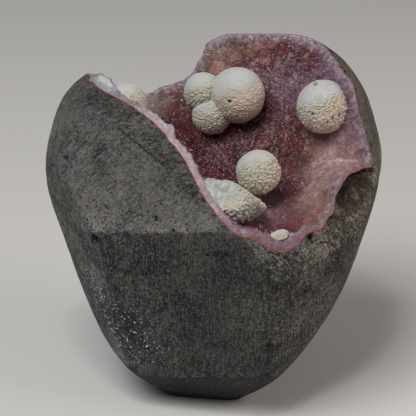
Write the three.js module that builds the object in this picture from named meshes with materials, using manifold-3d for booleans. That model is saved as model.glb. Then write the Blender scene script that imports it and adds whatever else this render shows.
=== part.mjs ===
// Okenite specimen: a ground block of basalt whose open vug is lined with a
// crust of chalcedony and carries fibrous okenite balls. Millimetres, +Z up,
// origin in the middle of the flat face the block stands on, front along -Y.
import * as THREE from 'three';
import { mergeVertices } from 'three/addons/utils/BufferGeometryUtils.js';
import Module from 'manifold-3d';

// ---------------------------------------------------------------- sizes
const HEIGHT_OF_HEART = 61;        // height of the point that the ground facets surround
const EDGE_SHARPNESS = 28;         // higher is a sharper edge between two facets
const FRONT_SHARPNESS = 140;       // the same between the crisp facets of the front
const COLUMNS = 66;                // columns of faces round the block
const SKIN_ROWS = 21;              // rows of faces from the base up to the rim
const VUG_ROWS = 9;                // rows down the basalt wall of the vug
const LINING_ROWS = 11;            // rows down the inner face of the crust
const GAP = 0.3;                   // clearance between pieces that touch
const CRUST = 2.8;                 // thickness of the chalcedony
const CUT_WIDTH = 2.1;             // crust seen in section along the ground edge, at its widest
const RIM_WIDTH = 1.3;             // the same along the natural rim
const VUG_DEPTH = 24;              // from the middle of the vug to its basalt floor
const VUG_CURVE = 3;               // how late the floor turns up towards the rim
const RIM_BLEND = 0.7;             // share of the way up from which the wall takes up the rim's raggedness
const RIM_CALM = 5;                // columns either side that are averaged for the calm wall below that

// Ground facets of the block: azimuth and elevation of the normal in degrees
// (0 is +X, -90 is the front), then the distance from the heart.
const FRONT_FACETS = [
  [-110, 25, 41.5],                // front left, above the ridge
  [-95, 40, 39],                   // front top
  [-105, -13, 43],                 // front, below the ridge
  [-99, -44, 57],                  // front undercut towards the base
];
const FACETS = [
  [-170, 15, 50],                  // left
  [-178, 50, 50.2],                // left shoulder
  [-150, -13, 46.5],
  [177, -19, 46],
  [-45, -13, 48.5],
  [-9, -17, 46.5],
  [-8, 16, 49.5],                  // right
  [10, 43, 53.5],                  // right shoulder
  [-52, 21, 41.5],                 // front right
  [-150, -42, 60],                 // undercut towards the base, all the way round
  [176, -43, 53],
  [-45, -42, 61],
  [0, -41, 47.5],
  [90, 12, 37],                    // back
  [90, -20, 39],
  [137, 14, 41.5],
  [135, -20, 44],
  [45, 14, 48.5],
  [46, -20, 44.5],
  [90, -46, 50],
  [135, -46, 52],
  [45, -46, 51],
  [90, 46, 50],
  [-165, 77, 40.2],                // top of the horn
  [-90, 84, 36],                   // top
];

// Outer edge of the vug on the ground surface, as directions from the heart
// (azimuth, elevation in degrees), going round from the left horn by the front.
const RIM = [
  [-175, 43], [-160, 44.5], [-145, 45.5], [-134, 45], [-122, 42.5], [-112, 37],
  [-104, 31], [-98.5, 23.5], [-93, 15.5], [-87, 8.5], [-82, 4], [-78, 3],
  [-73, -0.5], [-66, -4], [-60, -3.5], [-55, -1], [-48, -0.5], [-41, 3.5],
  [-36, 10], [-28, 14], [-15.5, 14], [-14.5, 21], [-13, 28], [-11, 36],
  [-4, 42.5], [8, 44], [20, 45], [34, 44], [47, 46], [60, 50.5],
  [76, 53.5], [87, 51], [94, 47], [97, 42], [100.5, 36.5], [105, 31.5],
  [116, 26], [124, 22.5], [140, 28], [156, 35], [169, 38.5], [177, 42],
];
const CUT_EDGE = { from: -185, to: -62, fade: 12 };    // azimuths where the crust is ground flat
// Places where that edge swells inward: azimuth, half width in degrees, extra width in mm.
const SWELLS = [[-174, 15, 2.8], [-117, 5, 1.1], [-102, 4, 0.7], [-66, 8, 1.4]];
const OPENING = { azimuth: -38, elevation: 63 };       // middle of the opening, from the heart

// Bowl of the vug: its middle and the way it faces.
const BOWL = { x: 5, y: -8, z: 84, azimuth: -93, elevation: 60 };

// Hollows in the basalt: direction from the heart, width in degrees, depth in mm.
const HOLLOWS = [
  { azimuth: -30, elevation: 7.5, width: 9, depth: 4.5 },
  { azimuth: -22, elevation: 9.5, width: 7, depth: 4 },
];

// Okenite balls: [x, y, z, radius] of each lobe.
const UPPER_CLUSTER = [[7.2, 12.6, 84.7, 8.4], [-2.9, 14.5, 85, 6], [-0.5, 12.5, 78.4, 5.9]];
const RIGHT_BALL = [[32, -3, 86.4, 7.8]];
const LOWER_CLUSTER = [
  [12.8, -19, 72.1, 6.4], [9, -29.3, 67.1, 7.5], [4.6, -36.5, 70.8, 7], [0.2, -39.2, 73.3, 5],
];
const LEFT_BALL = [[-27.1, -6, 87.8, 7]];
const BALL_FACES = [18, 11];                           // faces round and down one lobe
const BALL_LUMPS = 0.035;                              // height of the lumps, of the radius

// Small flat okenite patches on the crust: direction from the heart, half sizes in mm.
const HORN_PATCH = { azimuth: -166, elevation: 48, long: 2.6, wide: 1.8, high: 0.5, turn: 60 };
const FRONT_PATCH = { azimuth: -66, elevation: 1.5, long: 2.9, wide: 1.7, high: 0.6, turn: 0 };

// ---------------------------------------------------------------- small maths
const radians = THREE.MathUtils.degToRad;
const heart = new THREE.Vector3(0, 0, HEIGHT_OF_HEART);
const down = new THREE.Vector3(0, 0, -1);

function direction(azimuth, elevation) {
  const flat = Math.cos(radians(elevation));
  return new THREE.Vector3(
    flat * Math.cos(radians(azimuth)), flat * Math.sin(radians(azimuth)), Math.sin(radians(elevation)));
}

// Turns one unit vector a share of the way to another, along the great circle.
function swing(from, to, share) {
  const angle = from.angleTo(to);
  if (angle < 1e-6) return from.clone();
  const a = Math.sin((1 - share) * angle) / Math.sin(angle);
  const b = Math.sin(share * angle) / Math.sin(angle);
  return from.clone().multiplyScalar(a).addScaledVector(to, b);
}

function smooth(edge0, edge1, x) {
  return THREE.MathUtils.smoothstep(x, edge0, edge1);
}

// ---------------------------------------------------------------- the ground block
const toFacet = ([azimuth, elevation, distance]) => ({ normal: direction(azimuth, elevation), distance });
const facets = FACETS.map(toFacet);
const frontFacets = FRONT_FACETS.map(toFacet);
const hollows = HOLLOWS.map((h) => ({ ...h, middle: direction(h.azimuth, h.elevation) }));

// How soon a direction meets the planes of some facets, as one over the distance:
// a power mean of all of them, which rounds their edges a little.
function closeness(planes, w, sharpness, others = 0) {
  const leans = planes.map(({ normal, distance }) => Math.max(w.dot(normal), 0) / distance);
  const most = Math.max(...leans, others);
  const sum = [...leans, others].reduce((total, lean) => total + (lean / most) ** sharpness, 0);
  return most * sum ** (1 / sharpness);
}

// Distance from the heart to the ground surface: the crisp front facets first,
// then the softer ones with them, and the flat base.
function groundRadius(w) {
  const front = closeness(frontFacets, w, FRONT_SHARPNESS, 1e-3);
  const radius = 1 / closeness(facets, w, EDGE_SHARPNESS, front);
  return w.z < -1e-6 ? Math.min(radius, -HEIGHT_OF_HEART / w.z) : radius;
}

// Depth of the natural hollows beside the crust, a smooth dish each.
function hollowDepth(w) {
  let depth = 0;
  for (const { middle, width, depth: most } of hollows) {
    const away = THREE.MathUtils.radToDeg(w.angleTo(middle)) / width;
    if (away < 1) depth = Math.max(depth, most * (1 - away * away) ** 2);
  }
  return depth;
}

function onGround(w, lift = 0) {
  return heart.clone().addScaledVector(w, groundRadius(w) + lift);
}

// ---------------------------------------------------------------- the rim
// Directions of the rim at equal steps along its length: a Catmull-Rom curve
// through the RIM points, laid on the ground surface.
function rimDirections(count) {
  const curve = new THREE.CatmullRomCurve3(
    RIM.map(([azimuth, elevation]) => onGround(direction(azimuth, elevation))), true, 'centripetal');
  curve.arcLengthDivisions = 1200;
  return Array.from({ length: count }, (_, i) => curve.getPointAt(i / count).sub(heart).normalize());
}

const rim = rimDirections(COLUMNS);
const opening = direction(OPENING.azimuth, OPENING.elevation);

// Moves a rim direction over the ground surface towards the middle of the opening.
function inward(w, distance) {
  return swing(w, opening, distance / groundRadius(w) / w.angleTo(opening));
}

// Width of the crust's edge at a rim direction: wide where it is ground flat.
function edgeWidth(w) {
  let azimuth = THREE.MathUtils.radToDeg(Math.atan2(w.y, w.x));
  if (azimuth > 90) azimuth -= 360;
  const cut = smooth(CUT_EDGE.from - CUT_EDGE.fade, CUT_EDGE.from, azimuth)
    * (1 - smooth(CUT_EDGE.to, CUT_EDGE.to + CUT_EDGE.fade, azimuth));
  const swell = SWELLS.reduce((sum, [middle, half, extra]) => (
    sum + extra * Math.exp(-(((azimuth - middle) / half) ** 2))), 0);
  return RIM_WIDTH + (CUT_WIDTH - RIM_WIDTH) * cut + swell;
}

// ---------------------------------------------------------------- the bowl
const bowlMiddle = new THREE.Vector3(BOWL.x, BOWL.y, BOWL.z);
const bowlFloor = direction(BOWL.azimuth, BOWL.elevation).negate();

// The edge averaged over its neighbours, so the wall below it runs calm.
function calmed(edge) {
  const count = edge.length;
  return edge.map((_, i) => {
    const sum = new THREE.Vector3();
    for (let k = -RIM_CALM; k <= RIM_CALM; k += 1) sum.add(edge[(i + k + count) % count]);
    return sum.divideScalar(2 * RIM_CALM + 1);
  });
}

// One row of the bowl: each point swings from the floor (share 0) to its edge
// point (share 1), and its distance from the bowl's middle grows with a power
// of the share, so the floor is round and the walls run out to the rim.
function bowlRow(edge, share, depth) {
  const calm = calmed(edge);
  return edge.map((ragged, i) => {
    const point = calm[i].lerp(ragged, smooth(RIM_BLEND, 1, share));
    const arm = point.sub(bowlMiddle);
    const reach = arm.length();
    const w = swing(bowlFloor, arm.divideScalar(reach), share);
    return bowlMiddle.clone().addScaledVector(w, depth + (reach - depth) * share ** VUG_CURVE);
  });
}

function bowlRows(edge, rows, depth) {
  return Array.from({ length: rows - 1 }, (_, j) => bowlRow(edge, 1 - (j + 1) / rows, depth));
}

function bowlBottom(depth) {
  return bowlMiddle.clone().addScaledVector(bowlFloor, depth);
}

// ---------------------------------------------------------------- meshes
// Closed surface from a first pole, through rings of equal count, to a last pole.
// The first crossed rows split their quads on the other diagonal, so that a face
// that runs from the inside out nests in one that runs from the outside in.
function ringSolid(firstPole, rings, lastPole, crossed = 0) {
  const count = rings[0].length;
  const points = [firstPole, ...rings.flat(), lastPole];
  const last = points.length - 1;
  const faces = [];
  for (let i = 0; i < count; i += 1) {
    const next = (i + 1) % count;
    faces.push(0, 1 + next, 1 + i);
    for (let j = 0; j < rings.length - 1; j += 1) {
      const low = 1 + j * count;
      const high = low + count;
      if (j < crossed) faces.push(low + i, low + next, high + i, low + next, high + next, high + i);
      else faces.push(low + i, low + next, high + next, low + i, high + next, high + i);
    }
    const top = 1 + (rings.length - 1) * count;
    faces.push(top + i, top + next, last);
  }
  const geometry = new THREE.BufferGeometry();
  geometry.setAttribute('position', new THREE.Float32BufferAttribute(points.flatMap((p) => p.toArray()), 3));
  geometry.setIndex(faces);
  return geometry;
}

// Share of the way from straight down to a rim direction where the flat base ends.
function baseShare(edge) {
  let inside = 0;
  let outside = 0.5;
  for (let step = 0; step < 24; step += 1) {
    const share = (inside + outside) / 2;
    if (onGround(swing(down, edge, share)).z < 1e-6) inside = share;
    else outside = share;
  }
  return inside;
}

// The ground skin: a row round the edge of the flat base, then rows up to the rim.
function matrixGeometry() {
  const starts = rim.map(baseShare);
  const skin = Array.from({ length: SKIN_ROWS }, (_, j) => rim.map((edge, i) => {
    const share = starts[i] + (1 - starts[i]) * (j / (SKIN_ROWS - 1));
    const w = swing(down, edge, share);
    return onGround(w, -hollowDepth(w) * (1 - smooth(0.965, 1, share)));
  }));
  skin[0].forEach((point) => point.setZ(0));
  return ringSolid(new THREE.Vector3(0, 0, 0), [...skin.slice(0, -1), ...vugWall(0)], bowlBottom(VUG_DEPTH));
}

// The crust's inner face, with more or less crust under it.
function lining(extra) {
  const edge = rim.map((w) => onGround(inward(w, edgeWidth(w) + extra)));
  const depth = VUG_DEPTH - CRUST - extra;
  return { rows: [edge, ...bowlRows(edge, LINING_ROWS, depth)], bottom: bowlBottom(depth) };
}

// The basalt's wall of the vug, from the rim down, moved a clearance off the stone.
function vugWall(clearance) {
  const edge = rim.map((w) => onGround(w));
  const rows = [edge, ...bowlRows(edge, VUG_ROWS, VUG_DEPTH)];
  return rows.map((row) => row.map((point) => {
    const arm = point.clone().sub(bowlMiddle);
    return bowlMiddle.clone().add(arm.setLength(arm.length() - clearance));
  }));
}

function crustGeometry() {
  const inner = lining(0);
  return ringSolid(bowlBottom(VUG_DEPTH - GAP), [...vugWall(GAP).reverse(), ...inner.rows],
    inner.bottom, VUG_ROWS - 1);
}

// ---------------------------------------------------------------- okenite
const wasm = await Module();
wasm.setup();

function toSolid(geometry) {
  const plain = geometry.clone();
  plain.deleteAttribute('normal');
  plain.deleteAttribute('uv');
  const merged = mergeVertices(plain, 1e-4);
  return new wasm.Manifold(new wasm.Mesh({
    numProp: 3,
    vertProperties: new Float32Array(merged.attributes.position.array),
    triVerts: new Uint32Array(merged.index.array),
  }));
}

function toGeometry(solid) {
  const pieces = solid.decompose().sort((a, b) => b.volume() - a.volume());
  const mesh = pieces[0].getMesh();
  const geometry = new THREE.BufferGeometry();
  geometry.setAttribute('position', new THREE.Float32BufferAttribute(Array.from(mesh.vertProperties), 3));
  geometry.setIndex(Array.from(mesh.triVerts));
  return geometry;
}

// The whole ground block with no vug: okenite is ground off level with it.
function blockSolid() {
  const rings = Array.from({ length: 35 }, (_, j) => Array.from({ length: COLUMNS }, (_, i) => (
    onGround(direction((360 * i) / COLUMNS, -90 + (180 * (j + 1)) / 36)))));
  return toSolid(ringSolid(new THREE.Vector3(0, 0, 0), rings, onGround(new THREE.Vector3(0, 0, 1))));
}

// Everything on the basalt's side of the crust's inner face, kept off by the gap.
function seatSolid() {
  const beyond = 8;
  const skin = Array.from({ length: 12 }, (_, j) => rim.map((edge) => (
    onGround(swing(down, edge, (j + 1) / 12), beyond))));
  const inner = lining(GAP);
  return toSolid(ringSolid(new THREE.Vector3(0, 0, -beyond), [...skin, ...inner.rows], inner.bottom));
}

// A ball with a low relief of lumps, as radiating sprays of fibres make.
function lobeSolid([x, y, z, radius]) {
  const geometry = new THREE.SphereGeometry(radius, ...BALL_FACES);
  geometry.rotateX(0.4 + x);
  const position = geometry.attributes.position;
  const point = new THREE.Vector3();
  for (let i = 0; i < position.count; i += 1) {
    point.fromBufferAttribute(position, i).divideScalar(radius);
    const lumps = Math.sin(5 * point.x + x) * Math.sin(5 * point.y + y) * Math.sin(5 * point.z + z);
    point.multiplyScalar(radius * (1 + BALL_LUMPS * lumps));
    position.setXYZ(i, point.x + x, point.y + y, point.z + z);
  }
  return toSolid(geometry);
}

const block = blockSolid();
const seat = seatSolid();

function okeniteGeometry(lobes) {
  const whole = lobes.map(lobeSolid).reduce((sum, lobe) => sum.add(lobe));
  return toGeometry(whole.intersect(block).subtract(seat));
}

// A thin ground patch lying on the crust's edge, square to the surface there.
function patchGeometry({ azimuth, elevation, long, wide, high, turn }) {
  const w = direction(azimuth, elevation);
  const here = onGround(w);
  const east = onGround(direction(azimuth + 1, elevation)).sub(here).normalize();
  const north = onGround(direction(azimuth, elevation + 1)).sub(here).normalize();
  const up = east.clone().cross(north).normalize();
  const long1 = east.clone().applyAxisAngle(up, radians(turn));
  const wide1 = up.clone().cross(long1);
  const ring = (lift, grow) => Array.from({ length: 14 }, (_, i) => {
    const angle = (2 * Math.PI * i) / 14;
    const uneven = 1 + 0.12 * Math.sin(3 * angle + azimuth);
    return here.clone().addScaledVector(long1, grow * uneven * long * Math.cos(angle))
      .addScaledVector(wide1, grow * uneven * wide * Math.sin(angle)).addScaledVector(up, lift);
  });
  const top = GAP + high;
  return ringSolid(here.clone().addScaledVector(up, GAP), [ring(GAP, 1), ring(top, 0.85)],
    here.clone().addScaledVector(up, top));
}

// ---------------------------------------------------------------- the part
const basalt = new THREE.MeshStandardMaterial({ color: 0x55534f, roughness: 0.85, flatShading: true });
const chalcedony = new THREE.MeshStandardMaterial({ color: 0x8a5f62, roughness: 0.45 });
const okenite = new THREE.MeshStandardMaterial({ color: 0xd9d5c8, roughness: 0.95 });

const part = new THREE.Group();

function addPiece(name, geometry, material) {
  geometry.computeVertexNormals();
  const mesh = new THREE.Mesh(geometry, material);
  mesh.name = name;
  part.add(mesh);
}

addPiece('basalt_matrix', matrixGeometry(), basalt);
addPiece('chalcedony_crust', crustGeometry(), chalcedony);
addPiece('okenite_cluster_upper', okeniteGeometry(UPPER_CLUSTER), okenite);
addPiece('okenite_ball_right', okeniteGeometry(RIGHT_BALL), okenite);
addPiece('okenite_cluster_lower', okeniteGeometry(LOWER_CLUSTER), okenite);
addPiece('okenite_ball_left', okeniteGeometry(LEFT_BALL), okenite);
addPiece('okenite_patch_horn', patchGeometry(HORN_PATCH), okenite);
addPiece('okenite_patch_front', patchGeometry(FRONT_PATCH), okenite);

export default part;
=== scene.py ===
# Okenite specimen: a ground block of basalt with an open vug, lined with druzy
# chalcedony that carries fibrous okenite balls. Metres, +Z up, front along -Y.
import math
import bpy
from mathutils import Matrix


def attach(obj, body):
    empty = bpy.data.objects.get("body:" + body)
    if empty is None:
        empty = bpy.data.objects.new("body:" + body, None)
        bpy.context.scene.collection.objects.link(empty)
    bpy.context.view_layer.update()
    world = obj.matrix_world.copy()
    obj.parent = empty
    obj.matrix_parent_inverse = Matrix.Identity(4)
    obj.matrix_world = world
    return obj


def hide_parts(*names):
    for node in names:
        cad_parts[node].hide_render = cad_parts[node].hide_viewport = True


bl_info = {
    "name": "Okenite Specimen",
    "version": (1, 0, 0),
    "blender": (4, 5, 0),
    "location": "View3D > Sidebar > Specimen",
    "description": "Dresses the okenite specimen: basalt, chalcedony druse, okenite balls and a studio",
    "category": "Add Mesh",
}

import bpy
import numpy as np
from bpy.props import FloatProperty, FloatVectorProperty, IntProperty, PointerProperty
from mathutils import Vector

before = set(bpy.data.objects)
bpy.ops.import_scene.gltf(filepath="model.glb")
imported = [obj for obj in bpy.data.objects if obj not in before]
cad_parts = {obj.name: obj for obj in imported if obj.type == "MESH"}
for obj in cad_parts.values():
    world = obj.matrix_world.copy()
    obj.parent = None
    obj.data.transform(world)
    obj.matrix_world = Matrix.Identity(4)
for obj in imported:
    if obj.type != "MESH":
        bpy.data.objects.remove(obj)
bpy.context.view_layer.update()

MM = 0.001

# ---------------------------------------------------------------- the block's sizes
HEART = np.array([0, 0, 61 * MM])          # point that the ground facets surround
EDGE_SHARPNESS = 28                        # higher is a sharper edge between two facets
FRONT_SHARPNESS = 140                      # the same between the crisp facets of the front
VUG_DEPTH = 24 * MM                        # from the middle of the vug to its basalt floor
VUG_CURVE = 3                              # how late the floor turns up towards the rim
RIM_BLEND = 0.7                            # share of the way up where the wall turns ragged
RIM_CALM = 0.076                           # share of the rim either side that is averaged below that
CRUST = 2.8 * MM                           # thickness of the chalcedony
CUT_WIDTH = 2.1 * MM                       # crust seen in section along the ground edge
RIM_WIDTH = 1.3 * MM                       # the same along the natural rim
CUT_EDGE = (-185, -62, 12)                 # azimuths where the crust is ground flat, and the fade
BACK_STEP = (88, 94, 110, 122)             # azimuths where the back's step starts, is full, fades, ends
STEP_SPAN = 6                              # columns either side that give the rim's run at that step
OPENING = (-38, 63)                        # azimuth and elevation of the opening, from the heart
BOWL_MIDDLE = np.array([5, -8, 84]) * MM   # point that the vug's wall surrounds
BOWL_FACING = (-93, 60)                    # azimuth and elevation that the bowl faces
# Where the horn of the crust stands proud of the ground surface: x, y, z, reach and height in mm.
NOSES = np.array([[-31.3, -1.8, 95.2, 4, 1.7], [-28, -7.6, 94.7, 2.4, 1]])

# Ground facets: azimuth and elevation of the normal in degrees, distance in mm.
FRONT_FACETS = np.array([
    [-110, 25, 41.5], [-95, 40, 39], [-105, -13, 43], [-99, -44, 57],
])
FACETS = np.array([
    [-170, 15, 50], [-178, 50, 50.2], [-150, -13, 46.5], [177, -19, 46], [-45, -13, 48.5],
    [-9, -17, 46.5], [-8, 16, 49.5], [10, 43, 53.5], [-52, 21, 41.5], [-150, -42, 60],
    [176, -43, 53], [-45, -42, 61], [0, -41, 47.5], [90, 12, 37], [90, -20, 39],
    [137, 14, 41.5], [135, -20, 44], [45, 14, 48.5], [46, -20, 44.5], [90, -46, 50],
    [135, -46, 52], [45, -46, 51], [90, 46, 50], [-165, 77, 40.2], [-90, 84, 36],
])

PLANES = np.concatenate([FRONT_FACETS, FACETS])
# Run of the saw marks on each facet, in degrees from level: set in front, turning by steps elsewhere.
GRIND_TURNS = np.concatenate([[48, 12, 84, 65], 75 + 7 * np.arange(len(FACETS))])

# Tone of each facet's ground face, front facets first: 1 as ground, less where dark and rough,
# more where pale. The low and downward facets are darkened further as painted shade, the front's
# bottom facet most.
FACET_TONES_AND_SHADE = np.array([
    1.14, 0.79, 0.44, 0.12, 1.04, 1, 0.74, 0.75, 0.66,
    0.72, 1.36, 1.2, 1.12, 0.34, 0.38, 0.34, 0.34, 0.95,
    0.8, 0.9, 0.8, 0.95, 0.8, 0.6, 0.6, 0.6, 0.95, 0.95, 0.95,
])
# Places on the stone, as x, y, z and reach in mm: where gas bubbles are filled with pale mineral,
# and where it is rubbed paler and darker; the last three darker places are painted shade along the
# ridge between the two upper front facets.
STONE_ZONES = {
    "vesicle": [[-34, -26, 39, 5], [-31, -28, 33, 6.5], [-26, -30, 28, 7], [-20, -31, 23, 6]],
    "rubbed": [
        [-8, -44, 65, 7], [2, -46, 65, 5], [-36, -30, 62, 6], [-20, -38, 64, 5], [-28, -32, 63, 5],
        [27, -37, 54, 3],
    ],
    # Darker smudges; the last three are painted shade along the ridge between the upper front facets.
    "smudge": [
        [-33, -17, 93, 5], [-28, -22, 91, 4], [12, -44, 50, 10], [-22, -38, 60, 5], [-31, -29.5, 77, 3],
        [-19, -29.5, 84, 3], [-12, -34, 79.5, 3.5], [-7.5, -38.5, 75, 3],
    ],
}
# Cracks, deep scratches and holes, painted dark as the shade inside them: azimuth and elevation of
# both ends, and half the width in mm.
MARKS = np.array([
    [-134.2, -3.6, -133.9, -3.2, 1.5], [-143.1, -7.5, -143, -18, 0.45], [-141.3, -9, -141.7, -15, 0.35],
    [-140.7, 23.5, -138, 27.9, 0.38], [-140.6, 25.6, -138.7, 29, 0.3], [-111.7, 7.4, -111.6, 7.5, 0.6],
    [-103.2, 2.4, -103.1, 2.5, 0.5], [-96.5, -0.8, -96.4, -0.7, 0.5], [-60.7, -20.6, -53.5, -20, 0.4],
    [-53.4, -1.5, -52.6, -3.8, 0.6], [-49.2, -4.9, -45.6, -5.7, 0.35], [-41.2, -11.8, -40.8, -14.2, 0.45],
    [-55.2, -33.3, -52.9, -39.9, 0.38], [-69.5, -33.9, -68.8, -38.2, 0.36], [-64.4, -19.8, -62, -23.5, 0.42],
    [-136, 35.9, -130.6, 34.7, 0.34], [-130.1, 34.2, -124.2, 32.9, 0.3], [-123.6, 32.3, -112.7, 27.7, 0.28],
])

# Outer edge of the vug, as azimuth and elevation from the heart, from the left horn by the front.
RIM = np.array([
    [-175, 43], [-160, 44.5], [-145, 45.5], [-134, 45], [-122, 42.5], [-112, 37],
    [-104, 31], [-98.5, 23.5], [-93, 15.5], [-87, 8.5], [-82, 4], [-78, 3],
    [-73, -0.5], [-66, -4], [-60, -3.5], [-55, -1], [-48, -0.5], [-41, 3.5],
    [-36, 10], [-28, 14], [-15.5, 14], [-14.5, 21], [-13, 28], [-11, 36],
    [-4, 42.5], [8, 44], [20, 45], [34, 44], [47, 46], [60, 50.5],
    [74, 53.5], [84, 51.5], [91.2, 48], [94.8, 42.5], [98, 37.5], [102, 32.5],
    [115, 26], [124, 22.5], [140, 28], [154, 33.5], [166, 38.6], [172, 41.2], [177, 42.2], [181, 42],
])
# Where the crust's edge swells inward: azimuth, half width in degrees, extra width in mm.
SWELLS = np.array([[-172, 13, 2.8], [-191, 8, -1.3], [-117, 5, 1.1], [-102, 4, 0.7], [-66, 8, 1.4]])
# Dishes in the basalt: azimuth, elevation, width in degrees, depth in mm.
HOLLOWS = np.array([[-30, 7.5, 9, 4.5], [-22, 9.5, 7, 4]])
# Small pits in the ground face: azimuth, elevation, radius and depth in mm.
PITS = np.array([
    [-134.2, -3.5, 1.25, 2.2], [-104.5, 4, 0.6, 0.6], [-92.5, -4.5, 0.5, 0.5], [-85.6, -3.4, 0.5, 0.5],
    [-111.7, 7.4, 0.6, 0.9], [-115.3, 9.4, 0.45, 0.4], [-52.7, -2.6, 1.2, 1.6], [-69, -36.7, 0.8, 0.8],
    [-150, 20, 0.8, 0.6], [60, -10, 0.9, 0.8], [120, 5, 0.8, 0.8], [-57, -20, 0.6, 0.6],
])

# Okenite balls, each lobe as x, y, z and radius in mm.
UPPER_CLUSTER = np.array([[7.2, 12.6, 84.7, 8.4], [-2.9, 14.5, 85, 6], [-0.5, 11.4, 78.9, 5.85]])
RIGHT_BALL = np.array([32, -3, 86.4, 7.8])
LOWER_BALL = np.array([12.8, -19, 72.1, 6.4])
HALF_BALL = np.array([
    [6.4, -33, 69.1, 6], [4.6, -36.5, 70.8, 7], [9, -29.3, 67.1, 7.5], [0.8, -39, 73.2, 4.7],
    [-0.2, -36.5, 74.9, 2.8],
])
# Flatter sides of the half ball: azimuth, elevation, distance in mm.
HALF_BALL_SIDES = np.array([[28.5, 49.7, 3.7], [-28.8, -50, 6.8], [72, 66.6, 5.4]])
LEFT_BALL = np.array([-25.1, -6, 88.2, 6.2])
LOBE_BLEND = 8                             # higher is a sharper crease between two lobes of a ball
# Painted light: the side towards the key light stays white, and stains gather away from it, partly as
# painted shade.
BLEACHED_AND_LIT_FROM = (-0.35, 0.3, 0.88)         # side of the balls that is bleached smooth and white
# Partly painted light: the tan on the lower right also stands for warm light bouncing up from the crust.
TAN_STAIN_AND_BOUNCE_FROM = (0.5, -0.2, -0.84)          # side of the balls that is stained tan
# Dents in single balls, as a direction from the ball's middle, then radius and depth in mm.
BIG_DENTS = np.array([[-0.3, -0.95, 0.07, 0.5, 0.7]])
RIGHT_DENTS = np.array([
    [-0.4, 0.21, 0.9, 0.4, 1.3], [-0.35, 0.15, 0.92, 0.52, 2], [-0.38, 0.06, 0.93, 0.45, 1.8],
    [-0.34, -0.03, 0.94, 0.56, 2.1], [-0.3, -0.12, 0.94, 0.42, 1.7], [-0.34, -0.2, 0.93, 0.4, 1.4],
    [0.29, -0.94, -0.12, 0.4, 0.6], [0.55, -0.8, -0.05, 0.45, 0.6], [-0.45, -0.85, 0.0, 0.4, 0.5],
    [0.1, -0.98, -0.3, 0.35, 0.5],
])
HALF_DENTS = np.array([
    [-0.45, -0.43, 0.79, 0.7, 1], [-0.5, -0.33, 0.8, 0.8, 1.5], [-0.54, -0.22, 0.81, 0.8, 1.6],
    [-0.57, -0.1, 0.81, 0.8, 1.6], [-0.57, 0.03, 0.82, 0.8, 1.6], [-0.56, 0.16, 0.81, 0.8, 1.6],
    [-0.54, 0.28, 0.79, 0.7, 1.4],
])


def srgb(red, green, blue):
    """Linear colour of a screen colour given as 0 to 255."""
    value = np.array([red, green, blue]) / 255
    return tuple(np.where(value < 0.04045, value / 12.92, ((value + 0.055) / 1.055) ** 2.4))


# ---------------------------------------------------------------- fields and small maths
WAVE_GAIN = 1.6                            # brings the waves to a height of about one
ZONE_BLUR = 2.5 * MM                       # how far waves shift a zone's edge
ZONE_SIZE = 7 * MM                         # size of those waves
ZONE_SEED = 51


def smooth(low, high, x):
    """Eased step from 0 at low to 1 at high: 3t^2 - 2t^3."""
    t = np.clip((x - low) / (high - low), 0, 1)
    return t * t * (3 - 2 * t)


def unit(v):
    """Vectors brought to length one."""
    return v / np.linalg.norm(v, axis=-1, keepdims=True)


def direction(azimuth, elevation):
    """Unit vectors: azimuth turns from +X to +Y and elevation is above level, both in degrees."""
    a, e = np.radians(azimuth), np.radians(elevation)
    return np.stack([np.cos(e) * np.cos(a), np.cos(e) * np.sin(a), np.sin(e)], -1)


def angle_between(a, b):
    """Angle in radians between unit vectors."""
    return np.arccos(np.clip((a * b).sum(-1), -1, 1))


def swing(a, b, share):
    """Point a share of the way along the great circle: (sin((1 - s)q) a + sin(sq) b) / sin q."""
    q = angle_between(a, b)
    near = np.sin((1 - share) * q) / np.sin(q)
    far = np.sin(share * q) / np.sin(q)
    return near[..., None] * a + far[..., None] * b


def scatter_keys(seed):
    """Random tables that turn a lattice cell's whole numbers into one of 256 entries."""
    random = np.random.default_rng(seed)
    order = random.permutation(256)

    def key(cell):
        k = cell & 255
        return order[(order[(order[k[..., 0]] + k[..., 1]) & 255] + k[..., 2]) & 255]

    return random, key


def waves(points, size, seed):
    """Smooth random field, about -1 to 1, with features of one size.

    Each corner of a cubic lattice has a random slope. The eight corners' slopes are
    blended with the ease 6t^5 - 15t^4 + 10t^3.
    """
    random, key = scatter_keys(seed)
    slopes = unit(random.normal(size=(256, 3)))
    p = points / size
    cell = np.floor(p).astype(int)
    inside = p - cell
    ease = inside ** 3 * (inside * (inside * 6 - 15) + 10)
    total = np.zeros(p.shape[:-1])
    for corner in np.ndindex(2, 2, 2):
        corner = np.array(corner)
        share = np.where(corner == 1, ease, 1 - ease).prod(-1)
        total += share * (slopes[key(cell + corner)] * (inside - corner)).sum(-1)
    return total * WAVE_GAIN


def layers(points, size, seed, count=3):
    """Waves summed with halves of themselves, each half as large and half as high."""
    return sum(waves(points, size / 2 ** k, seed + k) / 2 ** k for k in range(count))


def shifted(points, amount, size, seed):
    """Points moved by waves of one size, up to about an amount along each axis."""
    return points + amount * np.stack([waves(points, size, seed + k) for k in range(3)], -1)


def zones(points, table):
    """How far points lie in sets of places: the sum of exp(-(distance / reach)^2), kept to 1.

    The points are shifted by waves first, which gives the zones uneven edges.
    """
    points = shifted(points, ZONE_BLUR, ZONE_SIZE, ZONE_SEED)

    def near(x, y, z, reach):
        away = np.linalg.norm(points - np.array([x, y, z]) * MM, axis=-1) / (reach * MM)
        return np.exp(-away ** 2)

    return {key: np.clip(sum(near(*place) for place in places), 0, 1) for key, places in table.items()}


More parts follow.
